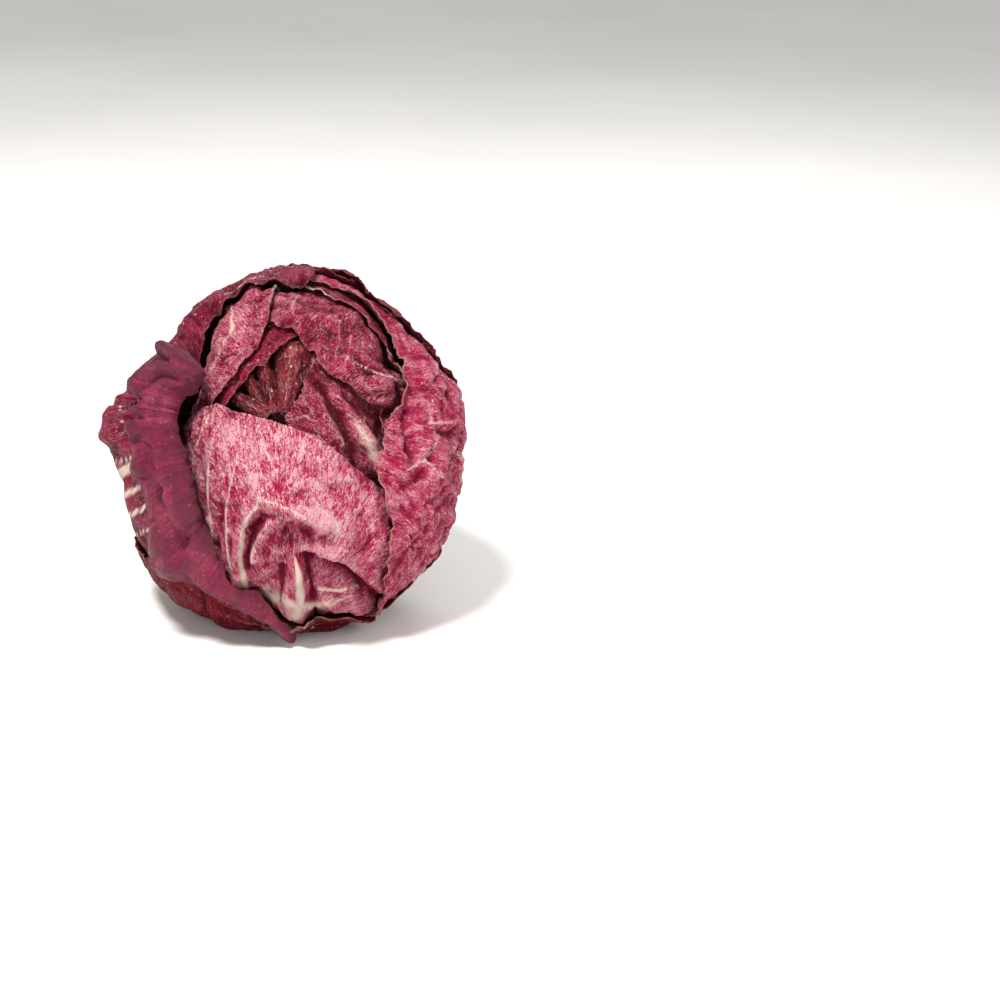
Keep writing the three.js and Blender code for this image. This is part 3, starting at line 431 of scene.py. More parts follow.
add_leaf(
    "leaf_front", PLAIN, slot="inner_leaf", grid=[240, 150], seed=2, middle=180, centre=[3.5, 0, 0],
    semi=[39, 57.5, 56], base=16, dip=0.14, floor=7.5, waver=0, ragged=0.4, rib=1.5, grain=[2, -62],
    crinkle=0.5, hug=0.6, flutter=0.35,
    rim=[
        [-34.6, 6.8], [-31, 11.4], [-27.5, 14], [-24, 15], [-20, 13.4], [-14.1, 12], [-7.3, 10.3], [-0.7, 8],
        [10.9, 3], [23.9, -7.3], [30.9, -13.2], [35.5, -16.5], [39.5, -19.5],
    ],
    strokes=[
        [2.6, 3, 2, [[-14.3, -44], [-15.2, -33.3], [-14.3, -26.8], [-9.6, -19.4]]],
        [1.8, 2.5, 2, [[-10.5, -38], [-8.7, -29.6], [-3.1, -24]]],
        [2.6, 4, 2.5, [[-9.6, -19.4], [4.3, -21.2], [16.4, -26.8], [13.6, -32.4], [5.3, -34.2]]],
        [-3.2, 2.5, 2.5, [[4.3, -36.5], [11.8, -36], [20.2, -39.5], [28.5, -45.4]]],
        [2.6, 3, 2, [[3.4, -37], [1.5, -45], [0.6, -53]]],
        [2.2, 2, 3.5, [[8, -49.5], [18, -48.5], [28.5, -47.3]]],
        [5, 9, 9, [[33, -24], [28, -38], [20, -50]]],
        [2.5, 8, 8, [[-22, -34], [-12, -48]]],
    ],
    folds=[
        [-2, 22, 22, [[2, -14], [6, -34]]],
        [6, 9, 9, [[-6, -49], [3, -53], [14, -53], [25, -49]]],
        [-2.5, 0.8, 0.8, [[8.5, -50], [9.5, -56], [9, -60]]],
        [-2, 0.7, 0.7, [[16.5, -50], [16.5, -56], [15, -60]]],
        [-2, 0.7, 0.7, [[-3.5, -50], [-2, -55], [0, -60]]],
        [7, 10, 14, [[38, -14], [38, -28], [33, -42], [26, -52]]],
        [4.4, 4.5, 1.3, [
            [-14.6, -47.4], [-15.7, -40], [-15.7, -34.5], [-15, -28.8], [-13.2, -23.9], [-9.6, -18.9],
        ]],
        [-4.5, 1.3, 2, [[-12.6, -41], [-12.8, -34.5], [-11.9, -29], [-8.2, -23.6]]],
        [3.2, 1.2, 2.6, [[-11.4, -40], [-10.7, -34.5], [-8.8, -30], [-5.8, -26], [-1.5, -23.9], [3, -24.4]]],
        [3.2, 3.5, 2.2, [[-9.3, -17], [-3.9, -18.9], [1.8, -21.2], [7.5, -24.4], [11.7, -27.4]]],
        [2.8, 2, 3, [[7.5, -14.5], [11.7, -20.6], [16, -24.6], [17.6, -28.1], [16.2, -31.7], [11.7, -33]]],
        [5, 5, 0.9, [[2.5, -35.4], [7, -33.6], [11.7, -33.6], [18.2, -35.8], [23.1, -39.6], [28.8, -44]]],
        [-5, 1, 3.2, [[4, -37], [9, -36], [14, -36.6], [20, -40], [26, -44.4]]],
        [4.2, 1.8, 2.2, [[2.4, -37], [3.6, -43.8], [4.6, -50.2], [3.2, -56]]],
        [-4, 1.8, 1.6, [[-1, -39], [-0.8, -45], [-2.2, -51]]],
        [-4, 1.2, 1, [[6, -37.4], [7.6, -43.8], [8.8, -49.5]]],
        [1.8, 1, 1.6, [[8, -38.2], [10.2, -44], [11.2, -48.6]]],
        [3, 1.4, 0.8, [[11.2, -48.3], [18.9, -48.8], [26, -47.4], [29.5, -46]]],
        [-3, 5, 7, [[-2, -28], [3, -29.5], [9, -29]]],
        [-1.6, 1.2, 1.2, [[-16.2, -46], [-18, -38], [-18, -30], [-17, -22]]],
        [1.1, 1.6, 1.2, [[-26.7, 12], [-31, 0.4], [-33.1, -6.8], [-32, -15.3], [-30.3, -23.1]]],
        [1.3, 1.5, 1.1, [
            [-20.3, 12.6], [-24.6, 4.6], [-26.3, -4.6], [-27.1, -13.9], [-26.3, -23.1], [-24.9, -31],
        ]],
        [1.3, 1.6, 1, [
            [-16, 2], [-17.4, -6.8], [-19.6, -15.3], [-20.6, -23.1], [-20.6, -33.1], [-19.2, -41],
        ]],
        [-1.2, 1, 1, [[-22, -20], [-22.9, -30], [-21, -41]]],
        [1.2, 2.5, 2.5, [[29.5, -27], [29, -35], [26, -41]]],
        [-0.9, 1.4, 1.4, [[-3, 5], [0, -4], [-2, -12]]],
        [0.9, 3, 2, [[12, -2], [15, -9], [14, -16]]],
        [0.9, 2, 3, [[22, -8], [23, -16], [21, -23]]],
        [0.8, 2, 2, [[4, 2], [7, -6], [8, -13]]],
    ],
    pale=[
        [0.7, 0.5, [[-26.7, 11], [-31, 0.4], [-33.1, -6.8], [-32, -15.3], [-30.3, -23.1]]],
        [0.75, 0.55, [
            [-24.9, -32], [-26.3, -23.1], [-27.1, -13.9], [-26.3, -4.6], [-24.6, 4.6], [-20.3, 12.1],
        ]],
        [0.75, 0.6, [[-19, -42], [-20.6, -33.1], [-20.6, -23.1], [-19.6, -15.3], [-17.4, -6.8], [-16, 1.1]]],
        [0.9, 1.3, [
            [-14, -49], [-15.7, -40.2], [-15.7, -34.5], [-15, -28.8], [-13.2, -23.9], [-9.6, -18.9],
            [-9.3, -16],
        ]],
        [0.75, 0.7, [[-12, -39.5], [-11.2, -34.5], [-9.2, -30.3], [-6.2, -26], [-2, -23.6], [2, -24]]],
        [0.7, 0.9, [[-9.3, -17.4], [-3.9, -19.2], [1.8, -21.4], [7.5, -24.6], [11.7, -27.4]]],
        [0.6, 0.8, [[16, -31.7], [17.4, -28.1], [16, -24.6], [11.7, -21], [7.5, -15.3]]],
        [0.95, 2.2, [[3.2, -58], [4.4, -52], [3.9, -44], [2.5, -37.6]]],
        [0.7, 3.2, [[-7, -50], [3, -54.5], [13, -54], [22, -51]]],
        [0.95, 0.8, [[11.2, -48.5], [18.9, -49], [26, -47.6], [29.5, -46.2]]],
        [0.55, 0.6, [[26, -42], [29, -36], [29.5, -28.8]]],
        [0.5, 0.45, [[-14, -12], [-10, -6], [-8.5, 1], [-9, 8]]],
        [0.5, 0.45, [[-9.5, -16.5], [-5, -10], [-4, -3], [-3, 6]]],
        [0.5, 0.45, [[-2, -16], [2, -9], [5, -3], [6, 3]]],
        [0.45, 0.45, [[4, -20], [9, -12], [13, -6], [16, -1]]],
        [0.45, 0.45, [[15, -23], [19, -17], [23, -12], [26, -9]]],
        [0.4, 0.4, [[-22, -28], [-23.5, -18], [-22.5, -8], [-19, 2]]],
    ],
    washes=[[0.9, 16, [[-16, 0], [8, -10]]], [0.7, 8, [[12, -20], [15, -29]]]],
)
add_leaf(
    "leaf_right_inner", PLAIN, slot="inner_leaf", grid=[110, 70], seed=13, middle=80, centre=[4, 0, 0],
    semi=[44, 58.5, 54.5], base=15, dip=0.14, floor=8, waver=0, ragged=0.3, crumple=0.5, rib=1, curl=1,
    curl_width=4, crinkle=0.8,
    rim=[
        [-4, 58.5, -1], [4, 57.3], [9, 54.6], [16.4, 51.4], [23.9, 45.8], [30.4, 39.3], [36, 33.7], [40, 26],
        [44, 15], [44, 6], [44, -4],
    ],
    folds=[
        [1.4, 1.6, 1.6, [[14, 56], [24, 51], [33, 44], [40, 35]]],
        [-1.5, 1.2, 1.2, [[12, 58], [22, 55], [32, 48.5]]],
    ],
    pale=[[1, 1.1, [[7, 55.6], [16.4, 51.4], [23.9, 45.8], [30.4, 39.3], [36, 33.7], [40, 27]]]],
)
add_leaf(
    "leaf_right", PLAIN, slot="inner_leaf", grid=[200, 130], seed=17, middle=95, centre=[2, 0, 0],
    semi=[61.5, 62, 57], base=14, neck=0.7, dip=0.12, floor=5.5, ragged=1, crumple=1.1, crinkle=1.15, hug=0.8,
    flutter=0.8,
    rim=[
        [-6, 61, -1], [4, 60.5], [10.9, 58.8], [23, 55.1], [29.5, 50.4], [35, 45.8], [40.6, 39.3],
        [45.3, 33.7], [46.5, 25], [45, 18.7], [39.7, 8.2], [35, -3.3], [33.8, -12.8], [33.7, -20.3],
        [36, -24.9], [34.6, -31.4], [31.3, -41.7], [30.5, -50.1], [27, -55.5], [18, -60.5, 0.6],
    ],
    strokes=[[-7, 4, 3, [[49.9, 24], [47.5, 8.6], [44, -4]]]],
    folds=[
        [-4.5, 2.6, 1.6, [[49.3, 25], [48.6, 16], [47.2, 8], [46, -2], [43, -6]]],
        [3, 1.2, 4, [[51.5, 27], [51.6, 17], [50, 9.5], [51.2, 1.8], [47.5, -4.2], [41, -8.1]]],
        [2.6, 1.6, 1.4, [[48.8, 8.6], [54, 8.2], [61.6, 8.2]]],
        [-1.6, 1.2, 1.4, [[50, 6], [56, 5.2], [62, 5]]],
        [2.4, 2, 2, [[46.8, -4.6], [53, -10], [60, -17.4]]],
        [2, 1.5, 2, [[52, 9], [54.5, 0], [54, -8]]],
        [1.8, 1.5, 1.5, [[46, -20], [50, -28], [49, -38]]],
        [1.6, 1.5, 1.5, [[40, -30], [43, -38], [44, -46]]],
        [-2, 0.8, 0.8, [[39.5, -36.5], [36, -41.5], [33.5, -46]]],
        [1.4, 1.5, 1.5, [[36.5, -30], [37, -38], [33.5, -44]]],
        [1.6, 2, 2, [[56, -20], [57.5, -28], [54, -38]]],
        [1.5, 1.6, 1.6, [[48, 33], [53, 27], [60, 22]]],
        [1.6, 1.6, 1.6, [[37, 46], [42, 38], [47, 30]]],
        [2, 1.4, 3, [[21.7, 57], [29.6, 51], [36, 43], [42, 36]]],
        [1, 1.4, 1.4, [[36, -8], [43, -12], [52, -13]]],
    ],
    pale=[
        [0.7, 0.7, [[41, -8.1], [47.2, -4.2], [50.8, 1.8], [49.8, 9.5], [50.6, 17]]],
        [0.7, 0.7, [[49, 8.6], [54, 8.4], [61.6, 8.6]]],
        [0.7, 0.6, [[46.8, -4.6], [53, -10], [60, -17.4]]],
        [0.5, 0.5, [[43, -15], [50, -22], [56, -26]]],
        [0.5, 0.5, [[44, -48], [48, -38], [50, -28], [46, -20]]],
        [0.5, 0.5, [[42, -44], [43, -36], [40, -28]]],
        [0.6, 0.6, [[31, 56], [37, 50], [41, 43]]],
        [0.5, 0.5, [[58, -34], [56, -26], [52, -18]]],
        [0.5, 0.5, [[50, 20], [55, 17], [61, 17]]],
        [0.5, 0.5, [[51, 24], [55, 27], [57, 30]]],
    ],
)
add_leaf(
    "leaf_left", PLAIN, grid=[210, 110], flap_rows=50, seed=19, middle=-112, semi=[52, 60.5, 56], base=14,
    neck=0.7, dip=0.12, floor=3.7, crumple=0.7, flap_lift=4, flap_swell=2, crinkle=0.75, pleat=0, hug=0.5,
    hug_width=6, flutter=0.5, lateral=0, rib_pale=0,
    rim=[
        [-32.6, 31], [-30.4, 27.6], [-31.8, 24.4], [-35, 21.2], [-38.6, 17.2], [-40.6, 12.6], [-41.6, 9],
        [-41.6, 5.5], [-40.6, 2.2], [-39, -0.4], [-37, -3.4], [-34.6, -10], [-31.3, -20], [-28.2, -29.9],
        [-22.2, -40.4], [-10.2, -49.9], [2.3, -57.4],
    ],
    flap=[
        [-35.8, 29], [-39, 27], [-41.6, 24.6], [-43.6, 21.6], [-45.2, 18], [-46.4, 13], [-46.8, 9.3],
        [-46.6, 4], [-45.4, -1], [-43.4, -10], [-41.2, -19], [-39.6, -28.7], [-36.7, -36.6], [-30.4, -39.8],
        [-23.5, -44.5], [-15.6, -49], [-0.2, -56.5],
    ],
    folds=[
        [4.2, 1.2, 2, [[-46, 18.5], [-45.4, 23], [-42.4, 26.4], [-38.6, 28.2], [-34.7, 28.4], [-31.6, 27]]],
        [-4, 1.2, 1.2, [[-44.6, 20.5], [-42, 24], [-38, 26], [-34, 26.2]]],
        [3.4, 1, 1.6, [[-46, 15.5], [-42.8, 20.2], [-39, 23], [-34.6, 24.6]]],
        [-3.4, 1.1, 1.1, [[-42.5, 17.4], [-38.8, 20.6], [-34.6, 22.6]]],
        [3.2, 1.2, 1.8, [[-43.4, 9], [-41, 14.6], [-38, 18.4], [-34.6, 20.8]]],
        [-3, 1.2, 1.4, [[-45.6, 7], [-44, 12], [-41.6, 15.4]]],
        [2.6, 1.1, 1.4, [[-46, 13], [-44.8, 8], [-43.4, 3]]],
        [2.6, 1.6, 1.4, [[-40, 1], [-37.6, -4], [-34.9, -12], [-31.6, -22], [-27, -31], [-19, -41]]],
        [-2.6, 1.6, 1.6, [[-44, 3], [-41, -5], [-38.4, -14], [-35, -24], [-29, -33]]],
        [2.4, 1.2, 2.4, [[-44.5, -5], [-40.5, -8.5], [-36.5, -9.6]]],
        [-2.2, 1.2, 1.2, [[-43, -8], [-39.4, -11.6], [-36, -12.6]]],
        [-2.2, 1.3, 1.3, [[-40.5, -21], [-36, -27], [-31, -33]]],
        [2.2, 1.8, 1.8, [[-39.5, -26], [-33, -35], [-25, -41], [-16, -46]]],
        [-2, 1.3, 1.3, [[-32, -36], [-24, -42.5], [-15, -48]]],
    ],
    washes=[
        [0.9, 3.5, [[-44, 19], [-40, 15], [-42, 10]]],
        [-1.2, 1.6, [[-41, 24.5], [-36, 25.4], [-32.4, 23.6], [-35, 19.6], [-39, 15]]],
        [0.8, 3, [[-43, -10], [-38, -26], [-28, -40]]],
        [-0.8, 2.4, [[-38.6, -12], [-34.4, -24], [-27, -34]]],
    ],
)
add_leaf(
    "leaf_top", PLAIN, grid=[150, 90], seed=23, middle=-8, semi=[61, 63.5, 59], floor=3.7, crinkle=0.8,
    back=8,
    rim=[
        [-54, 12, -1], [-54, 20, -1], [-51.5, 28, -0.6], [-41, 37.3], [-36.5, 41.8], [-30.1, 46.7],
        [-25.4, 51.8], [-18, 56], [-10.5, 57.9], [-5, 58.8], [7.1, 59.3], [11.8, 61.1], [19.2, 58.8],
        [30, 52, -1], [42, 40, -1],
    ],
    folds=[
        [1.6, 1.6, 1.6, [[-28, 52], [-20, 58], [-10, 61]]],
        [1.4, 1.5, 1.5, [[-40, 42], [-33, 48], [-26, 54]]],
    ],
    pale=[[0.6, 0.5, [[-22, 54], [-14, 58.6], [-6, 60]]]],
)
add_leaf(
    "leaf_upper_right", PLAIN, grid=[130, 80], seed=29, middle=58, semi=[63.5, 65, 60], floor=3.7, ragged=0.4,
    crumple=0.6, crinkle=0.9, flutter=0.6, back=8,
    rim=[
        [-12, 58, -1], [8, 64, -1], [20.2, 60.3], [27.6, 58.4], [33.3, 53.2], [40, 47.5], [48.1, 40.2],
        [51, 34], [56, 26, 0], [60.5, 15, -1], [61, 2, -1], [58, -14, -1],
    ],
)
add_leaf(
    "leaf_left_back", PLAIN, grid=[130, 90], seed=37, middle=-92, semi=[60, 63, 61], base=12, floor=1.9,
    crumple=0.6, rib=3, crinkle=0.5, hug=0.8, hug_width=4, lateral=0, behind=22, back=8,
    rim=[
        [-30, 50, -1], [-44, 40, -1], [-53, 25, -0.6], [-57, 19, -0.2], [-58, 16, 0.5], [-54.5, 13, 1],
        [-51, 8], [-48, 0], [-45, -8], [-42, -20], [-38, -34], [-34, -43], [-30, -53, 0], [-20, -60, -1],
    ],
    strokes=[[5.5, 3.5, 9, [[-58, 20], [-61, 12], [-59, 0]]]],
    folds=[
        [2, 1.2, 2.4, [[-57, 20], [-59, 13], [-57, 5], [-53, -2]]],
        [-1.8, 1.2, 1.2, [[-55, 15], [-55.5, 8], [-53, 1]]],
        [1.2, 1.5, 1.5, [[-54, 18], [-52, 8]]],
    ],
    pale=[
        [0.8, 0.35, [[-58.5, 15], [-57, 9], [-53, 2]]],
        [0.85, 0.7, [[-60, -5], [-55, -4], [-47, 0]]],
        [1.05, 2.2, [[-60, -10], [-54, -7], [-45, -2]]],
        [1, 1.4, [[-59, -18], [-53, -15], [-44, -10]]],
        [1, 1.2, [[-58, -25.5], [-51, -22], [-42, -17]]],
        [0.9, 0.9, [[-56, -32], [-50, -29.5], [-41, -25]]],
        [0.85, 0.8, [[-53, -38], [-47, -36.5], [-39, -32]]],
    ],
)
add_leaf(
    "leaf_bottom", PLAIN, grid=[150, 90], seed=31, middle=178, semi=[61.6, 66, 61], base=12, floor=0,
    ragged=1, crumple=0.6, rib=3, crinkle=0.5, flutter=0.5, lateral=0.7, back=8,
    rim=[
        [-56, -8, -1], [-50, -28, -1], [-44, -38], [-36, -42], [-27, -46], [-18, -50.5], [-10, -57],
        [-4, -61, 0.5], [1, -60.5], [5, -57.6], [11, -57], [16, -57.6], [21, -56.6], [28, -57.4], [34, -57],
        [40, -54, -1], [48, -44, -1], [56, -26, -1],
    ],
)

# The curled leaves of the heart: a line, the radii along it, and how far round it reaches to either side.
CURLS = [
    ([[1.5, 34, 33], [1, 25, 37.5], [-0.5, 14, 39.5], [-3, 8, 38]], [4.6, 5.2, 3.2, 2.2], 125),
    ([[-8.5, 30, 31.5], [-6.5, 23, 36.5], [-5, 15, 39], [-4, 9, 38]], [2.2, 2.9, 2.3, 1.8], 120),
    ([[-13, 24.5, 31], [-11, 20, 35.5], [-8, 14.5, 38], [-5, 9, 38]], [1.8, 2.5, 2, 1.6], 120),
    ([[-17, 17, 33], [-11.5, 13.5, 38], [-6, 9.5, 40.5]], [2.4, 3.1, 2.4], 125),
    ([[-4, 34, 30], [3.5, 33, 34.5], [9, 27.5, 35]], [2.2, 3.4, 2.6], 120),
    ([[5.5, 31, 31], [6.5, 24, 35], [5.5, 15, 37]], [2.2, 3.2, 2.4], 120),
]

CORE = dict(centre=[3.5, 0, 0], semi=[31, 50, 44], floor=22, dip=0.25)

DETAIL = 1.0


def fineness(count):
    return max(int(count * DETAIL), 8)


# ---------- one leaf ----------
def turns_from_midrib(azimuth, middle):
    """Azimuths counted from the midrib without a jump, for a rim that may run round most of the head."""
    turns = np.unwrap(azimuth - middle)
    return turns - 2 * np.pi * np.round(turns[len(turns) // 2] / (2 * np.pi))


def outline_in_order(leaf, key, columns):
    """An outline of the leaf as directions, its left side first."""
    azimuth = polar_of(outline_directions(leaf["rim"], leaf, 40))[0]
    turns = turns_from_midrib(azimuth, math.radians(leaf["middle"]))
    rightward = turns[-1] > turns[0]
    return outline_directions(leaf[key] if rightward else leaf[key][::-1], leaf, columns)


def leaf_grid(leaf, flap_rows):
    """Points on the leaf's ellipsoid, columns across by rows from stem to rim and flap, with fields."""
    columns, rows = (fineness(count) for count in leaf["grid"])
    semi, centre = leaf["semi"], leaf["centre"]
    middle = math.radians(leaf["middle"])
    base = math.radians(leaf["base"])
    rim = outline_in_order(leaf, "rim", columns)
    azimuth, rim_angle = polar_of(rim)
    turns = turns_from_midrib(azimuth, middle)
    level = np.linspace(turns[0], turns[-1], columns)
    run = np.r_[0, np.cumsum(length(np.diff(rim * semi + centre, axis=0)))]
    rim_angle = (rim_angle + leaf["ragged"] * raggedness(run, leaf["seed"]) / 60)[:, None]

    # b: how far from the stem to the rim. f: how far from there over the flap.
    j = np.arange(rows + flap_rows)[None, :]
    f = (np.maximum(0, j - rows + 1) / max(flap_rows, 1)) ** 1.3
    b = 1 - (1 - np.minimum(j / (rows - 1), 1)) ** leaf["to_rim"]
    angle = base + (rim_angle - base) * b
    waver = leaf["waver"] * np.sin(7 * angle + leaf["seed"]) * smooth(b, 0, 0.2) * (1 - smooth(b, 0.8, 1))
    spread = smooth(b, 0, 1)
    turn = level[:, None] * (1 - spread) + turns[:, None] * spread
    turn = turn * (leaf["neck"] + (1 - leaf["neck"]) * smooth(b, 0, 0.5)) * (1 + waver)
    direction = from_polar(middle + turn, angle)
    if flap_rows:
        flap = outline_in_order(leaf, "flap", columns)
        folded = unit(rim[:, None] * (1 - f[..., None]) + flap[:, None] * f[..., None])
        direction = np.where(f[..., None] > 0, folded, direction)
    return direction * semi + centre, {
        "angle": angle,
        "across": turn * np.sin(angle) * LEAF_LENGTH_SCALE,
        "along": angle * LEAF_LENGTH_SCALE,
        "to_rim": np.maximum(0, rim_angle - angle) * LEAF_LENGTH_SCALE,
        "flap": f,
        "run": run[:, None],
    }


def stem_dip(angle):
    """How much of its dip a leaf has, so many radians from the stem."""
    return hump(angle, math.radians(STEM_DIP_SPREAD))


def shape_leaf(leaf, under, over=None, flap_rows=0):
    """Outer surface of a leaf over what lies under it, with its thickness and fields."""
    p, fields = leaf_grid(leaf, flap_rows)
    ray = unit(p)
    seed, across, f, to_rim = leaf["seed"], fields["across"], fields["flap"], fields["to_rim"]
    flat = f <= 0
    away = np.degrees(fields["angle"])

    rib_width = 1 + 7 * (1 - smooth(away, 0, 150))
    rib = np.where(flat, leaf["rib"] * (1 - smooth(away, 20, 105)) * hump(across, rib_width), 0)
    blade = BLADE + 0.8 * rib + np.where(flat, BASE_EXTRA * (1 - smooth(away, 15, 60)), 0)
    wrinkle = 1.6 * ripple(p, 34, seed) + puckers(p, seed, [(1.8, 26, 3), (0.9, 11, 5)])
    rolled = np.maximum(0, 1 - to_rim / leaf["curl_width"]) ** 2
    roll = leaf["curl"] * (1 + 0.5 * np.sin(fields["run"] / 9 + seed)) * rolled
    r = length(p) * (1 - leaf["dip"] * stem_dip(fields["angle"]))
    r = r + leaf["crumple"] * smooth(away, 25, 75) * wrinkle + np.where(flat, roll, 0)
    r = r + leaf["back"] * smooth(-p[..., 2], 0, BACK_DEPTH)
    marked = p + [0, 0, leaf["behind"]]
    folds = sum((fold_height(marked, fold) for fold in leaf["folds"]), 0 * r)
    r = r + sum((stroke_height(marked, stroke) for stroke in leaf["strokes"]), folds)

    gap = LAYER_GAP_AT_STEM + (FINE_GAP - LAYER_GAP_AT_STEM) * smooth(away, 20, 55)
    lowest = reach_at(ray, under) + gap + blade
    rolling = np.minimum(f / FLAP_ROLL, 1)
    if flap_rows:
        lift = leaf["flap_lift"] * np.sqrt(1 - (1 - rolling) ** 2) + leaf["flap_swell"] * np.sin(np.pi * f)
        r = r + np.where(flat, 0, lift)
        lowest = np.where(flat, lowest, reach_at(ray, over) + gap)
    r = r + np.minimum(lowest - r, 0) * leaf["hug"] * hump(to_rim, leaf["hug_width"]) * (1 - rolling)
    r = 0.5 * (r + lowest + np.hypot(r - lowest, 0.5)) + rib
    if flap_rows:
        r = r + np.where(flat, 0, (FLAP_CLEARANCE + np.maximum(folds, 0.1 - FLAP_CLEARANCE)) * rolling)
    r = np.where(flat, above_table(r, ray, leaf["floor"]), above_table(r, ray, BLADE))
    return ray * r[..., None], blade, fields


# ---------- fine relief and colour fields, by formula ----------
LATERAL_SPACING = 8.5  # mm along the midrib from one side vein to the next


def pale_lines(p, lines):
    """How pale a place is from the drawn pale lines, which taper to their ends."""
    pale = np.zeros(p.shape[:-1])
    for strength, width, line in lines:
        best, _, along = line_field(p, line)
        taper = np.sqrt(np.clip(1 - along, 0.04, 1))
        pale = np.maximum(pale, strength * hump(best, width * taper) * smooth(p[..., 2], -8, 4))
    return pale


def vein_field(p, fields, leaf):
    """How far a place belongs to a rib or a lateral vein, 0 to 1."""
    across, along = fields["across"], fields["along"]
    bend = 2.2 * ripple(p, 30, leaf["seed"] + 7) + 0.7 * ripple(p, 9, leaf["seed"] + 8)
    rising = (along - 0.75 * np.abs(across) + bend + 40 * (across > 0)) / LATERAL_SPACING
    from_vein = (rising - np.round(rising)) * LATERAL_SPACING
    reach = np.exp(-np.abs(across) / 26) * smooth(along, 14, 34)
    lateral = hump(from_vein, 0.35 + 0.75 * reach) * (0.25 + 0.75 * reach) * leaf["lateral"]
    rib_width = 1.2 + 5 * (1 - smooth(along, 0, 120))
    rib = hump(across, rib_width) * (1 - smooth(along, 70, 150)) * leaf["rib_pale"]
    foot = (1 - smooth(along, 16, 34)) * 0.9
    return np.maximum(np.maximum(lateral, rib), foot)


def relief(p, fields, leaf):
    """Fine height in mm, outward from the leaf's own surface."""
    seed, run, across = leaf["seed"], fields["run"], fields["across"]
    crinkle = puckers(p, seed, [(1.0, 15, 9), (0.65, 8.5, 1), (0.32, 4.6, 2)])
    crinkle = crinkle + 0.09 * ripple(p, 2.3, seed + 4)
    pleat = np.sin(across * 2 * np.pi / 3.7 + 1.8 * np.sin(fields["along"] / 9 + seed))
    pleat = pleat * (0.4 + 0.6 * ripple(p, 22, seed + 6))
    wave = 0.55 + 0.6 * wander(run, 12, seed) + 0.35 * wander(run, 4.5, seed + 3)
    flutter = leaf["flutter"] * hump(fields["to_rim"], 5) * wave
    return np.maximum(leaf["crinkle"] * (crinkle + leaf["pleat"] * pleat) + flutter, -0.7)


# Where the silhouette leaves the ellipsoids: the direction in the drawing plane, in degrees from
# the right, how far it spreads to either side, and the share by which the head narrows or widens.
SHOULDERS = [
    [137, 17, -0.16], [108, 9, -0.055], [63, 15, -0.065], [35, 18, -0.08], [193, 9, -0.05], [228, 15, 0.05],
]
SHOULDER_DEPTH = 26


def shouldered(p):
    """The head's points, moved in or out near its silhouette so that it isn't an even ball."""
    direction = np.degrees(np.arctan2(p[..., 1], p[..., 0])) % 360
    share = sum(size * hump(direction - middle, spread) for middle, spread, size in SHOULDERS)
    share = share * hump(p[..., 2] + 8, SHOULDER_DEPTH)
    return kept_above(p * np.stack([1 + share, 1 + share, np.ones_like(share)], -1))


# ---------- meshes ----------
# What the materials read at each point: how pale it is, its distance from the rim in mm, whether it is
# on the inner side or a cut, and how high it stands above its surroundings, which the materials turn
# into painted shade in hollows and painted highlight on crests.
VALUES = ("pale", "rim", "side", "height")
BOTH_SIDES = np.array([0, 1])[:, None, None]  # a sheet's outer side, then its inner one
UV_SCALE = 0.01  # one unit of uv is 100 mm


def differences(points, axis):
    """Central differences along an axis of a grid, one-sided at its ends."""
    p = np.moveaxis(points, axis, 0)
    return np.moveaxis(np.concatenate([p[1:2] - p[:1], p[2:] - p[:-2], p[-1:] - p[-2:-1]]), 0, axis)


def grid_normals(grid):
    return unit(np.cross(differences(grid, 1), differences(grid, 0)))


def sheet_faces(m, n):
    """Quads of a closed sheet: outer grid, inner grid behind it, and the strip round the edge."""
    i, j = np.meshgrid(np.arange(m - 1), np.arange(n - 1), indexing="ij")
    a, b, c, d = i * n + j, (i + 1) * n + j, (i + 1) * n + j + 1, i * n + j + 1
    outer = np.stack([a, d, c, b], -1).reshape(-1, 4)
    inner = np.stack([a, b, c, d], -1).reshape(-1, 4) + m * n
    first, last = np.arange(n), (m - 1) * n + np.arange(n - 2, -1, -1)
    loop = np.r_[first, np.arange(1, m) * n + n - 1, last, np.arange(m - 2, 0, -1) * n]
    after = np.roll(loop, -1)
    return np.vstack([outer, inner, np.stack([loop, loop + m * n, after + m * n, after], -1)])


def tube_faces(m, n):
    """Quads of a closed tube of n rings, and across its first and last ring."""
    i, j = np.meshgrid(np.arange(m), np.arange(n - 1), indexing="ij")
    k = (i + 1) % m
    wall = np.stack([i * n + j, i * n + j + 1, k * n + j + 1, k * n + j], -1).reshape(-1, 4)
    across = np.arange(m // 2 - 1)
    cap = np.stack([across, across + 1, m - 2 - across, m - 1 - across], -1) * n
    return np.vstack([wall, cap, cap[:, ::-1] + n - 1])


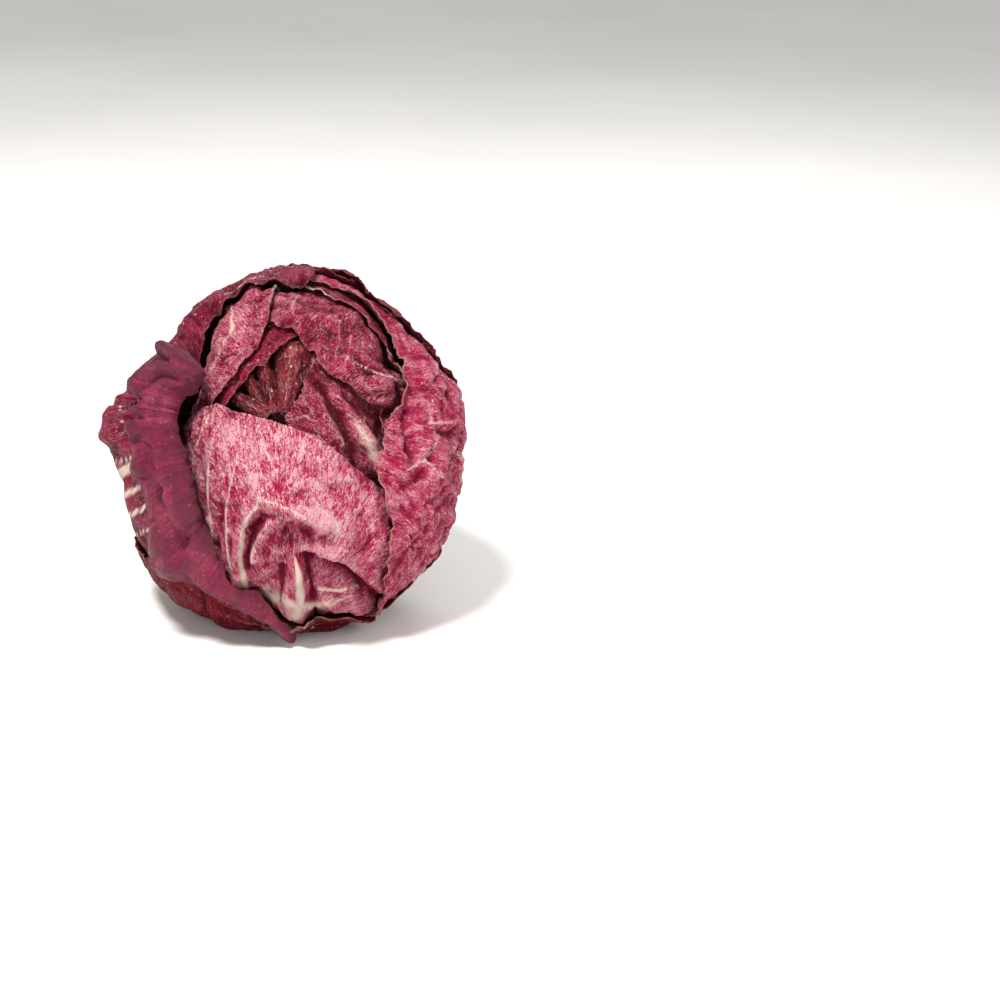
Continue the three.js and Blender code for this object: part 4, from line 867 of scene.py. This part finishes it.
def make_object(name, parts):
    """One object from parts: points in the drawing frame, quads, uv in mm, and the materials' values."""
    points, quads, uvs, start = [], [], [], 0
    values = {key: [] for key in VALUES}
    for p, faces, uv, own in parts:
        shape = p.shape[:-1]
        points.append(p.reshape(-1, 3))
        quads.append(faces + start)
        uvs.append(np.broadcast_to(uv * UV_SCALE, (*shape, 2)).reshape(-1, 2))
        for key in VALUES:
            values[key].append(np.broadcast_to(own.get(key, 0), shape).ravel())
        start += len(points[-1])
    points = to_world(shouldered(np.vstack(points)))
    quads, uvs = np.vstack(quads), np.vstack(uvs)
    mesh = bpy.data.meshes.new(name)
    mesh.vertices.add(len(points))
    mesh.vertices.foreach_set("co", points.ravel())
    mesh.loops.add(4 * len(quads))
    mesh.loops.foreach_set("vertex_index", quads.ravel().astype(np.int32))
    mesh.polygons.add(len(quads))
    mesh.polygons.foreach_set("loop_start", np.arange(0, 4 * len(quads), 4, dtype=np.int32))
    mesh.update(calc_edges=True)
    mesh.validate()
    mesh.uv_layers.new(name="grain").data.foreach_set("uv", uvs[quads.ravel()].astype(np.float32).ravel())
    for key in VALUES:
        value = np.concatenate(values[key]).astype(np.float32)
        mesh.attributes.new(key, "FLOAT", "POINT").data.foreach_set("value", value)
    mesh.shade_smooth()
    obj = bpy.data.objects.new(name, mesh)
    bpy.context.scene.collection.objects.link(obj)
    return obj


def dress(node, parts, material):
    """The fine piece that stands for a node of the part."""
    piece = make_object(node + "_fine", parts)
    piece.data.materials.append(material)
    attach(piece, "root")
    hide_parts(node)


def grain_of(p, fields, leaf):
    """Coordinates in mm that the blade's streaks follow: across them, then along them."""
    if leaf["grain"] is None:
        return np.stack([fields["across"], fields["along"]], -1)
    v = p[..., :2] - leaf["grain"]
    return np.stack([np.arctan2(v[..., 0], v[..., 1]) * GRAIN_RADIUS, length(v)], -1)


def cavity(points, normal, radius):
    """How far each place of a grid stands above, or lies below, the mean of its surroundings, in mm."""
    out = points
    for axis in (0, 1):
        spacing = np.median(length(np.diff(points, axis=axis)))
        half = int(np.clip(round(radius / spacing), 1, min(points.shape[:2]) // 3))
        pad = [(half, half) if k == axis else (0, 0) for k in range(3)]
        run = np.cumsum(np.pad(out, pad, mode="edge"), axis=axis)
        run = np.concatenate([np.zeros_like(np.take(run, [0], axis)), run], axis)
        first = np.arange(points.shape[axis])
        total = np.take(run, first + 2 * half + 1, axis) - np.take(run, first, axis)
        out = total / (2 * half + 1)
    return ((points - out) * normal).sum(-1)


def leaf_part(p, blade, fields, leaf):
    """The closed fine sheet of a leaf."""
    normal = grid_normals(p)
    f, to_rim = fields["flap"], fields["to_rim"]
    veins = vein_field(p, fields, leaf) * (1 - smooth(f, 0, 0.05))
    pale = pale_lines(p, leaf["pale"])
    height = relief(p, fields, leaf) + 0.45 * veins + 0.35 * pale
    height = np.where(f > 0, height * 0.8, height)
    outer = kept_above(p + normal * height[..., None])
    thin = 0.4 + 0.6 * smooth(to_rim, 0, 6)
    if leaf["flap"]:
        thin = np.where(f > 0, 0.55 + 0.45 * (1 - smooth(f, 0.8, 1)), 1)
        to_rim = np.where(f > 0, (1 - f) * 40, to_rim)
    inner = outer - normal * (blade - BLADE + FINE_BLADE * thin)[..., None]
    # Painted shade and painted highlight: places below their surroundings are painted darker, places above
    # them lighter.
    shade = cavity(outer, normal, 2.2) + 0.6 * cavity(outer, normal, 5) + 0.25 * height
    shade = np.minimum(shade, SHADE_RANGE[1])
    # Painted highlight along the lines with strength above 0, painted shade along those below it.
    for strength, width, line in leaf["washes"]:
        shade = shade + strength * hump(line_field(p, line)[0], width)
    values = {
        "pale": np.maximum(veins, pale),
        "rim": to_rim,
        "side": BOTH_SIDES,
        "height": np.maximum(shade, SHADE_RANGE[0]),
    }
    return np.stack([outer, inner]), sheet_faces(*blade.shape), grain_of(p, fields, leaf), values


def core_point(azimuth, angle):
    p = from_polar(azimuth, angle) * CORE["semi"] + CORE["centre"]
    ray = unit(p)
    r = length(p) * (1 - CORE["dip"] * stem_dip(angle))
    return ray * above_table(r, ray, CORE["floor"])[..., None]


def core_part(around, along):
    """The middle of the heart, seen only in the gaps, painted dark all over as painted shade."""
    turns = np.linspace(0, 2 * np.pi, around + 1)[:-1]
    azimuth, angle = np.meshgrid(turns, np.linspace(0.02, np.pi - 0.02, along), indexing="ij")
    p = core_point(azimuth, angle)
    p = p * (1 + 0.012 * ripple(p, 14, 3) * smooth(angle, 0.3, 1))[..., None]
    # A height of -3 paints the whole core in full painted shade.
    return p, tube_faces(around, along), np.stack([azimuth * 40, angle * 50], -1), {"rim": 30, "height": -3}


def curl_part(curl, seed, around, along):
    """A rolled leaf of the heart: an open tube along a short line, its rim wavy and its blade crinkled."""
    line, radii, opening = curl
    path = evenly(smooth_curve(line), along)
    radius = evenly(smooth_curve([[10 * i, r, 0] for i, r in enumerate(radii)]), along)[:, 1]
    forward = unit(differences(path, 0))
    side = unit(np.cross(forward, unit(path)))
    lift = np.cross(side, forward)
    opening = np.radians(opening)
    turn = opening * np.linspace(-1, 1, around)[:, None]
    step = np.linspace(0, 6, along)[None, :]
    wavy = radius * (1 + 0.12 * np.sin(3 * turn + step) + 0.05 * np.sin(9 * turn + 2.3 * step + seed))
    p = path + (-wavy * np.sin(turn))[..., None] * side + (wavy * np.cos(turn))[..., None] * lift
    normal = grid_normals(p)
    p = p + normal * (puckers(p, seed, [(0.25, 5, 0)]) + 0.12 * ripple(p, 2.2, seed + 1))[..., None]
    edge = np.minimum(1 - np.abs(turn) / opening, 1) * radius * 2
    ends = np.minimum(np.arange(along), np.arange(along)[::-1])[None, :] * length(path[1] - path[0])
    to_rim = np.minimum(edge, ends + 0.2 * np.abs(np.sin(7 * turn)))
    inner = p - normal * (0.45 + 0.35 * smooth(to_rim, 0, 2))[..., None]
    values = {
        "pale": 0.35 * hump(turn, 0.16),
        "rim": to_rim,
        "side": BOTH_SIDES,
        # painted highlight along the curl's crest and painted shade toward its rolled sides
        "height": 1.2 * np.cos(turn) - 0.8,
    }
    uv = np.stack(np.broadcast_arrays(turn * radius, np.linspace(0, 25, along)), -1)
    return np.stack([p, inner]), sheet_faces(around, along), uv, values


BEVEL = 1.2  # mm, round the stem's cut
CUT_SHARE = 0.86  # of the stem's radius, that its flat cut takes up


def stem_part(around, along):
    """The cut stem: a cone about the axis, its skin grooved and its cut face dished and rough."""
    slope = math.tan(math.radians(STEM_HALF_ANGLE))
    bevel = np.linspace(0, np.pi / 2, 7)[1:]
    face = np.linspace(CUT_SHARE, 0.02, 22)
    skin = np.linspace(STEM_NEAR, STEM_FAR - BEVEL, along)
    reach = np.r_[skin, STEM_FAR - BEVEL + BEVEL * np.sin(bevel), np.full(len(face), STEM_FAR)]
    share = np.r_[np.ones(along), 1 - 0.12 * (1 - np.cos(bevel)), face]
    turn = np.linspace(0, 2 * np.pi, around + 1)[:-1][:, None]
    flute = 1 + 0.05 * np.cos(5 * turn) + 0.012 * np.cos(23 * turn + 3 * np.sin(reach / 7)) * (share > 0.8)
    on_face = share < CUT_SHARE + 0.01
    dish = np.where(on_face, -0.5 * (1 - (share / CUT_SHARE) ** 2), 0)
    ring = np.cos(turn)[..., None] * NORTH + np.sin(turn)[..., None] * EAST
    p = -AXIS * (reach + dish)[None, :, None] + ring * (reach * slope * share * flute)[..., None]
    rough = 0.16 * ripple(p, 2.4, 4) + 0.12 * ripple(p, 1.1, 9)
    p = p - AXIS * np.where(on_face, rough, 0)[..., None]
    outward = tube_faces(around, len(reach))[:, [0, 3, 2, 1]]
    uv = np.stack(np.broadcast_arrays(turn * 10, reach), -1)
    return p, outward, uv, {"rim": share, "side": on_face}


# ---------- materials ----------
def paint(*stops):
    """Stops of a ramp, each a place and an sRGB colour from 0 to 255, as the linear values Blender takes."""
    return [(place, (*(((c / 255 + 0.055) / 1.055) ** 2.4 for c in rgb), 1)) for place, *rgb in stops]


class Shader:
    """A material's nodes, made by short calls that return output sockets."""

    def __init__(self, name):
        self.material = bpy.data.materials.new(name)
        self.material.use_nodes = True
        self.tree = self.material.node_tree
        self.surface = self.tree.nodes["Principled BSDF"]

    def node(self, kind, inputs=None, **settings):
        node = self.tree.nodes.new(kind)
        for key, value in settings.items():
            setattr(node, key, value)
        for key, value in (inputs or {}).items():
            self.put(node.inputs[key], value)
        return node

    def put(self, socket, value):
        if isinstance(value, bpy.types.NodeSocket):
            self.tree.links.new(value, socket)
        else:
            socket.default_value = value

    def math(self, operation, *values):
        node = self.node("ShaderNodeMath", operation=operation)
        for socket, value in zip(node.inputs, values):
            self.put(socket, value)
        return node.outputs[0]

    def attribute(self, name):
        return self.node("ShaderNodeAttribute", attribute_name=name, attribute_type="GEOMETRY").outputs["Fac"]

    def mapped(self, vector, scale, offset):
        inputs = {"Vector": vector, "Scale": scale, "Location": (offset, offset, offset)}
        return self.node("ShaderNodeMapping", inputs).outputs[0]

    def grain(self, across, along, offset=0.0):
        """The leaf's own coordinates, one unit being this many mm across and along the streaks."""
        uv = self.node("ShaderNodeUVMap", uv_map="grain").outputs[0]
        return self.mapped(uv, (1 / UV_SCALE / across, 1 / UV_SCALE / along, 1), offset)

    def solid(self, size, offset=0.0):
        """Space coordinates, one unit being this many mm."""
        return self.mapped(self.node("ShaderNodeTexCoord").outputs["Object"], (1000 / size,) * 3, offset)

    def noise(self, vector, detail=4.0, roughness=0.55, distortion=0.0):
        inputs = {"Detail": detail, "Roughness": roughness, "Distortion": distortion}
        return self.node("ShaderNodeTexNoise", {"Vector": vector, "Scale": 1.0, **inputs}).outputs["Fac"]

    def cells(self, vector, feature):
        return self.node("ShaderNodeTexVoronoi", {"Vector": vector, "Scale": 1.0}, feature=feature).outputs

    def step(self, value, low, high):
        """Smoothly 0 below low and 1 above high."""
        inputs = {"Value": value, "From Min": low, "From Max": high}
        return self.node("ShaderNodeMapRange", inputs, interpolation_type="SMOOTHSTEP").outputs[0]

    def step_down(self, value, low, high):
        return self.math("SUBTRACT", 1.0, self.step(value, low, high))

    def sway(self, value, strength, base):
        """The base, raised or lowered as a 0 to 1 value lies above or below its middle."""
        return self.math("MULTIPLY_ADD", self.math("SUBTRACT", value, 0.5), strength, base)

    def mix(self, factor, a, b):
        node = self.node("ShaderNodeMix", data_type="RGBA")
        for index, value in ((0, factor), (6, a), (7, b)):
            self.put(node.inputs[index], value)
        return node.outputs[2]

    def laid(self, colour, mask, strength, tone):
        """The colour with a tone laid over it where the mask is."""
        return self.mix(self.math("MULTIPLY", mask, strength), colour, tone)

    def ramp(self, value, stops):
        node = self.node("ShaderNodeValToRGB", {"Fac": value})
        while len(node.color_ramp.elements) < len(stops):
            node.color_ramp.elements.new(0.5)
        for element, (position, colour) in zip(node.color_ramp.elements, stops):
            element.position = position
            element.color = colour
        return node.outputs[0]

    def finish(self, colour, roughness, height, strength, distance):
        bump = self.node("ShaderNodeBump", {"Height": height, "Strength": strength, "Distance": distance})
        for name, value in (("Base Color", colour), ("Roughness", roughness), ("Normal", bump.outputs[0])):
            self.put(self.surface.inputs[name], value)
        return self.material


# Pigments, from the shaded plum of the outermost leaves to the whitish pink of the raised places.
PLUM = (0.1, 0.001, 0.013, 1)
MAUVE = (0.2, 0.004, 0.032, 1)
DUSTY = (0.34, 0.04, 0.095, 1)
OXBLOOD = (0.13, 0.0015, 0.012, 1)
CRIMSON = (0.3, 0.003, 0.042, 1)
MAGENTA = (0.44, 0.02, 0.09, 1)
PINK = (0.6, 0.2, 0.27, 1)
BLUSH = (0.68, 0.36, 0.4, 1)
# What lies on the pigment: ribs, flecks, dry specks and dry rims.
CREAM = (0.77, 0.58, 0.5, 1)
FLECK = (0.76, 0.45, 0.48, 1)
SPECK = (0.72, 0.55, 0.28, 1)
TAN = (0.45, 0.25, 0.14, 1)

OUTER = dict(deep=PLUM, mid=MAUVE, light=DUSTY, streak=0.4)
LOOKS = {
    "heart": dict(
        deep=(0.035, 0.0008, 0.003, 1), mid=(0.16, 0.004, 0.017, 1), light=(0.42, 0.1, 0.1, 1),
        streak=0.6, fleck=0.25, speck=1.0,
    ),
    "leaf_heart_right": dict(deep=OXBLOOD, mid=CRIMSON, light=PINK, fleck=0.6, streak=0.9),
    "leaf_heart_left": dict(deep=OXBLOOD, mid=CRIMSON, light=MAGENTA, fleck=0.35, speck=0.8),
    "leaf_heart_upper_right": dict(deep=OXBLOOD, mid=CRIMSON, light=PINK, fleck=0.6),
    "leaf_heart_upper_left": dict(deep=OXBLOOD, mid=MAGENTA, light=BLUSH, streak=0.7),
    "leaf_front": dict(
        deep=CRIMSON, mid=MAGENTA, light=BLUSH, fleck=0.8, streak=1.0, bloom_and_sheen=0.35, speck=0.35,
    ),
    "leaf_right_inner": dict(deep=OXBLOOD, mid=CRIMSON, light=PINK, fleck=0.4),
    "leaf_right": dict(deep=CRIMSON, mid=MAGENTA, light=BLUSH, speck=0.5, dry=0.6),
    "leaf_left": dict(
        deep=(0.07, 0.0008, 0.01, 1), mid=(0.18, 0.003, 0.03, 1), light=(0.36, 0.055, 0.12, 1),
        fleck=0, net=0, bloom_and_sheen=0.25, speck=0.25, gloss=0.34, shine=0.3,
    ),
    "leaf_top": dict(OUTER, fleck=0.2, speck=0.8),
    "leaf_upper_right": dict(OUTER, fleck=0.15, speck=1.0),
    "leaf_left_back": dict(OUTER, fleck=0.2),
    "leaf_bottom": dict(
        deep=(0.09, 0.0008, 0.006, 1), mid=(0.15, 0.002, 0.012, 1), light=(0.28, 0.012, 0.035, 1),
        fleck=0.12, net=0.15, bloom_and_sheen=0.15, shine=0.04, dry=0.5,
    ),
}


def leaf_material(
    node, seed, deep, mid, light,
    streak=0.5, fleck=0.5, speck=0.4, bloom_and_sheen=0.3, net=0.3, gloss=0.48, shine=0.1, dry=0.15,
):
    """Red leaf: pigment in streaks and clouds, pale on its ribs and veins, with painted highlight where it
    stands proud and painted shade in its hollows, a waxy bloom with painted sheen, flecks and dry rims.
    """
    s = Shader(node + "_skin")
    pale, rim, side, height = (s.attribute(name) for name in VALUES)

    fibres = s.noise(s.grain(0.42, 2.3, seed * 1.7), 4.0, 0.62, 1.5)
    cloud = s.noise(s.solid(9, seed), 4.0)
    mottle = s.noise(s.solid(0.65, seed * 3.1), 4.0, 0.65, 1.0)
    pigment = s.sway(mottle, 1.1, s.sway(cloud, 0.65, s.sway(fibres, 1.8 * streak, 0.46)))
    # Painted shade and painted highlight: the pigment goes deeper in hollows and lighter on crests.
    pigment = s.math("MULTIPLY_ADD", height, 0.16, pigment)
    colour = s.ramp(pigment, [(0.35, deep), (0.54, mid), (0.79, light)])

    # Waxy bloom and painted sheen: random pale patches of the light pigment.
    bloom_and_sheen_patches = s.step(s.noise(s.solid(5, seed * 2.3), 6.0, 0.8), 0.5, 0.72)
    colour = s.laid(colour, bloom_and_sheen_patches, bloom_and_sheen, light)

    # A net of fine veins: wandering threads, and the borders of small cells, both broken in places.
    broken = s.noise(s.solid(4, seed * 1.9), 3.0)
    thread = s.math("ABSOLUTE", s.math("SUBTRACT", s.noise(s.grain(2.3, 9.5, seed), 3.0, 0.5, 1.1), 0.5))
    thread = s.math("MULTIPLY", s.step_down(thread, 0.004, 0.02), s.step(broken, 0.4, 0.6))
    border = s.cells(s.grain(3.0, 6.6, seed), "DISTANCE_TO_EDGE")["Distance"]
    web = s.math("MULTIPLY_ADD", s.noise(s.solid(2.0, seed), 3.0), 0.16, border)
    web = s.math("MULTIPLY", s.step_down(web, 0.075, 0.12), s.step(broken, 0.42, 0.62))
    veins = s.math("MAXIMUM", thread, s.math("MULTIPLY", web, 0.6))
    colour = s.laid(colour, veins, net, FLECK)

    gate = s.noise(s.solid(6, seed * 5.1), 2.0)
    flecks = s.noise(s.grain(0.5, 2.2, seed * 4.3), 3.0, 0.6, 0.9)
    flecks = s.step(s.math("MULTIPLY_ADD", gate, 0.35, flecks), 0.745, 0.85)
    colour = s.laid(colour, flecks, fleck, FLECK)

    cell = s.cells(s.solid(2.1, seed * 7.7), "F1")
    chance = s.node("ShaderNodeSeparateColor", {"Color": cell["Color"]}).outputs[0]
    chosen = s.step(s.math("MULTIPLY_ADD", gate, 0.5, chance), 0.93, 0.98)
    spot = s.math("MULTIPLY", s.step_down(cell["Distance"], 0.08, 0.26), chosen)
    colour = s.laid(colour, spot, speck, SPECK)

    ribs = s.step(s.sway(fibres, 1.1, pale), 0.26, 0.8)
    colour = s.mix(ribs, colour, CREAM)
    # Painted shade: hollows are darkened toward half the deep pigment.
    hollow = s.step(s.math("MULTIPLY", height, -1.0), 0.15, 1.6)
    colour = s.laid(colour, hollow, 0.85, tuple(0.5 * c for c in deep[:3]) + (1,))
    worn = s.math("MULTIPLY_ADD", s.noise(s.solid(3.5, seed * 1.3), 4.0), -2.6, rim)
    colour = s.laid(colour, s.step_down(worn, -1.1, -0.45), dry, TAN)
    colour = s.laid(colour, side, 0.25, light)

    s.surface.inputs["Specular IOR Level"].default_value = shine
    roughness = s.math("MULTIPLY_ADD", s.noise(s.solid(1.6, seed), 3.0), 0.24, gloss - 0.08)
    fine = s.math("MULTIPLY_ADD", mottle, 1.1, s.math("MULTIPLY", fibres, 0.8))
    return s.finish(colour, roughness, s.math("MULTIPLY_ADD", veins, 0.3, fine), 1.0, 0.0011)


def stem_material():
    """Cream stem, browned and dried on its cut."""
    s = Shader("stem_skin")
    fibre = s.noise(s.grain(0.7, 8.0, 2.0), 5.0, 0.6)
    cloud = s.noise(s.solid(5, 3.0), 4.0)
    rings = s.noise(s.solid(2.2, 6.0), 5.0, 0.65, 0.5)
    tone = s.math("ADD", s.math("MULTIPLY", fibre, 0.6), s.math("MULTIPLY", cloud, 0.4))
    skin = s.ramp(tone, paint((0.3, 190, 158, 118), (0.5, 226, 208, 176), (0.7, 240, 230, 208)))
    tone = s.math("SUBTRACT", rings, s.math("MULTIPLY", s.attribute("rim"), 0.12))
    face = s.ramp(tone, paint((0.25, 206, 176, 132), (0.45, 170, 126, 82), (0.62, 112, 72, 44)))
    return s.finish(s.mix(s.attribute("side"), skin, face), 0.62, s.math("ADD", fibre, rings), 0.5, 0.0005)


# ---------- the head ----------
drape = Drape()
azimuths, angles = np.meshgrid(np.linspace(0, 2 * np.pi, 145), np.linspace(0, np.pi, 73), indexing="ij")
drape.add(core_point(azimuths, angles))
heart_parts = [core_part(fineness(120), fineness(60))]
for seed, curl in enumerate(CURLS, 3):
    heart_parts.append(curl_part(curl, seed, fineness(70), fineness(50)))
    drape.add(heart_parts[-1][0][0])

shaped = []
for leaf in LEAVES:
    under = drape.soft
    part = leaf_part(*shape_leaf(leaf, under), leaf)
    drape.add(part[0][0])
    shaped.append((leaf, under, part))

for leaf, under, part in shaped:
    if leaf["flap"]:
        part = leaf_part(*shape_leaf(leaf, under, drape.soft, fineness(leaf["flap_rows"])), leaf)
    name = leaf["name"]
    dress(name, [part], leaf_material(name, leaf["seed"] * 0.37, **LOOKS[name]))
dress("heart", heart_parts, leaf_material("heart", 0.9, **LOOKS["heart"]))
dress("stem", [stem_part(fineness(96), fineness(36))], stem_material())


# ---------- floor, light and camera, in metres ----------
LIGHTS = (
    ("key", (-0.3, -0.62, 1.1), 0.25, 23, (1, 0.98, 0.95)),
    ("right", (0.85, -0.55, 0.55), 0.5, 4, (1, 1, 1)),
    ("fill", (-0.1, -0.95, 0.3), 0.5, 3, (1, 1, 1)),
    ("back", (0.2, 0.8, 0.8), 0.5, 4, (1, 1, 1)),
)
LIT_POINT = Vector((0, 0, 0.06))
FLOOR_HALF = 3
FRAME_PIXELS = 1000
FOCAL_PIXELS = 2700
HEAD_PIXEL = (287, 447)  # where the head's centre lies in the frame
CAMERA_DISTANCE = 0.961
SENSOR_MM = 36


def place_object(name, data):
    obj = bpy.data.objects.new(name, data)
    obj.rotation_mode = "QUATERNION"
    bpy.context.scene.collection.objects.link(obj)
    return obj


def lay_floor():
    corners = [(x * FLOOR_HALF, y * FLOOR_HALF, 0) for x, y in ((-1, -1), (1, -1), (1, 1), (-1, 1))]
    mesh = bpy.data.meshes.new("floor")
    mesh.from_pydata(corners, [], [(0, 1, 2, 3)])
    s = Shader("floor_paint")
    tone = s.ramp(s.noise(s.solid(240, 1.0), 3.0), paint((0.3, 236, 234, 231), (0.7, 243, 241, 238)))
    s.put(s.surface.inputs["Base Color"], tone)
    s.surface.inputs["Roughness"].default_value = 0.7
    mesh.materials.append(s.material)
    place_object("floor", mesh)


def light_studio():
    world = bpy.data.worlds.new("studio")
    bpy.context.scene.world = world
    world.use_nodes = True
    world.node_tree.nodes["Background"].inputs["Color"].default_value = (1, 1, 1, 1)
    world.node_tree.nodes["Background"].inputs["Strength"].default_value = 0.5
    bpy.context.scene.view_settings.view_transform = "Standard"
    for name, place, size, power, colour in LIGHTS:
        light = bpy.data.lights.new(name, "AREA")
        light.shape = "DISK"
        light.size = size
        light.energy = power
        light.color = colour
        obj = place_object(name, light)
        obj.location = place
        obj.rotation_quaternion = (LIT_POINT - Vector(place)).to_track_quat("-Z", "Y")


def set_camera():
    """Looks down at the head, turned so that it lies left of the frame's middle and a little above it."""
    centre = Vector((*HEAD_SHIFT, HEAD_CENTRE_HEIGHT)) * 0.001
    toward = Vector((0, -math.cos(TILT), math.sin(TILT)))
    data = bpy.data.cameras.new("camera")
    data.lens = FOCAL_PIXELS / FRAME_PIXELS * SENSOR_MM
    data.sensor_width = SENSOR_MM
    yaw, pitch = (math.atan((FRAME_PIXELS / 2 - pixel) / FOCAL_PIXELS) for pixel in HEAD_PIXEL)
    turn = (-toward).to_track_quat("-Z", "Y") @ Matrix.Rotation(-yaw, 4, "Y").to_quaternion()
    obj = place_object("camera", data)
    obj.location = centre + toward * CAMERA_DISTANCE
    obj.rotation_quaternion = turn @ Matrix.Rotation(-pitch, 4, "X").to_quaternion()
    bpy.context.scene.camera = obj


lay_floor()
light_studio()
set_camera()
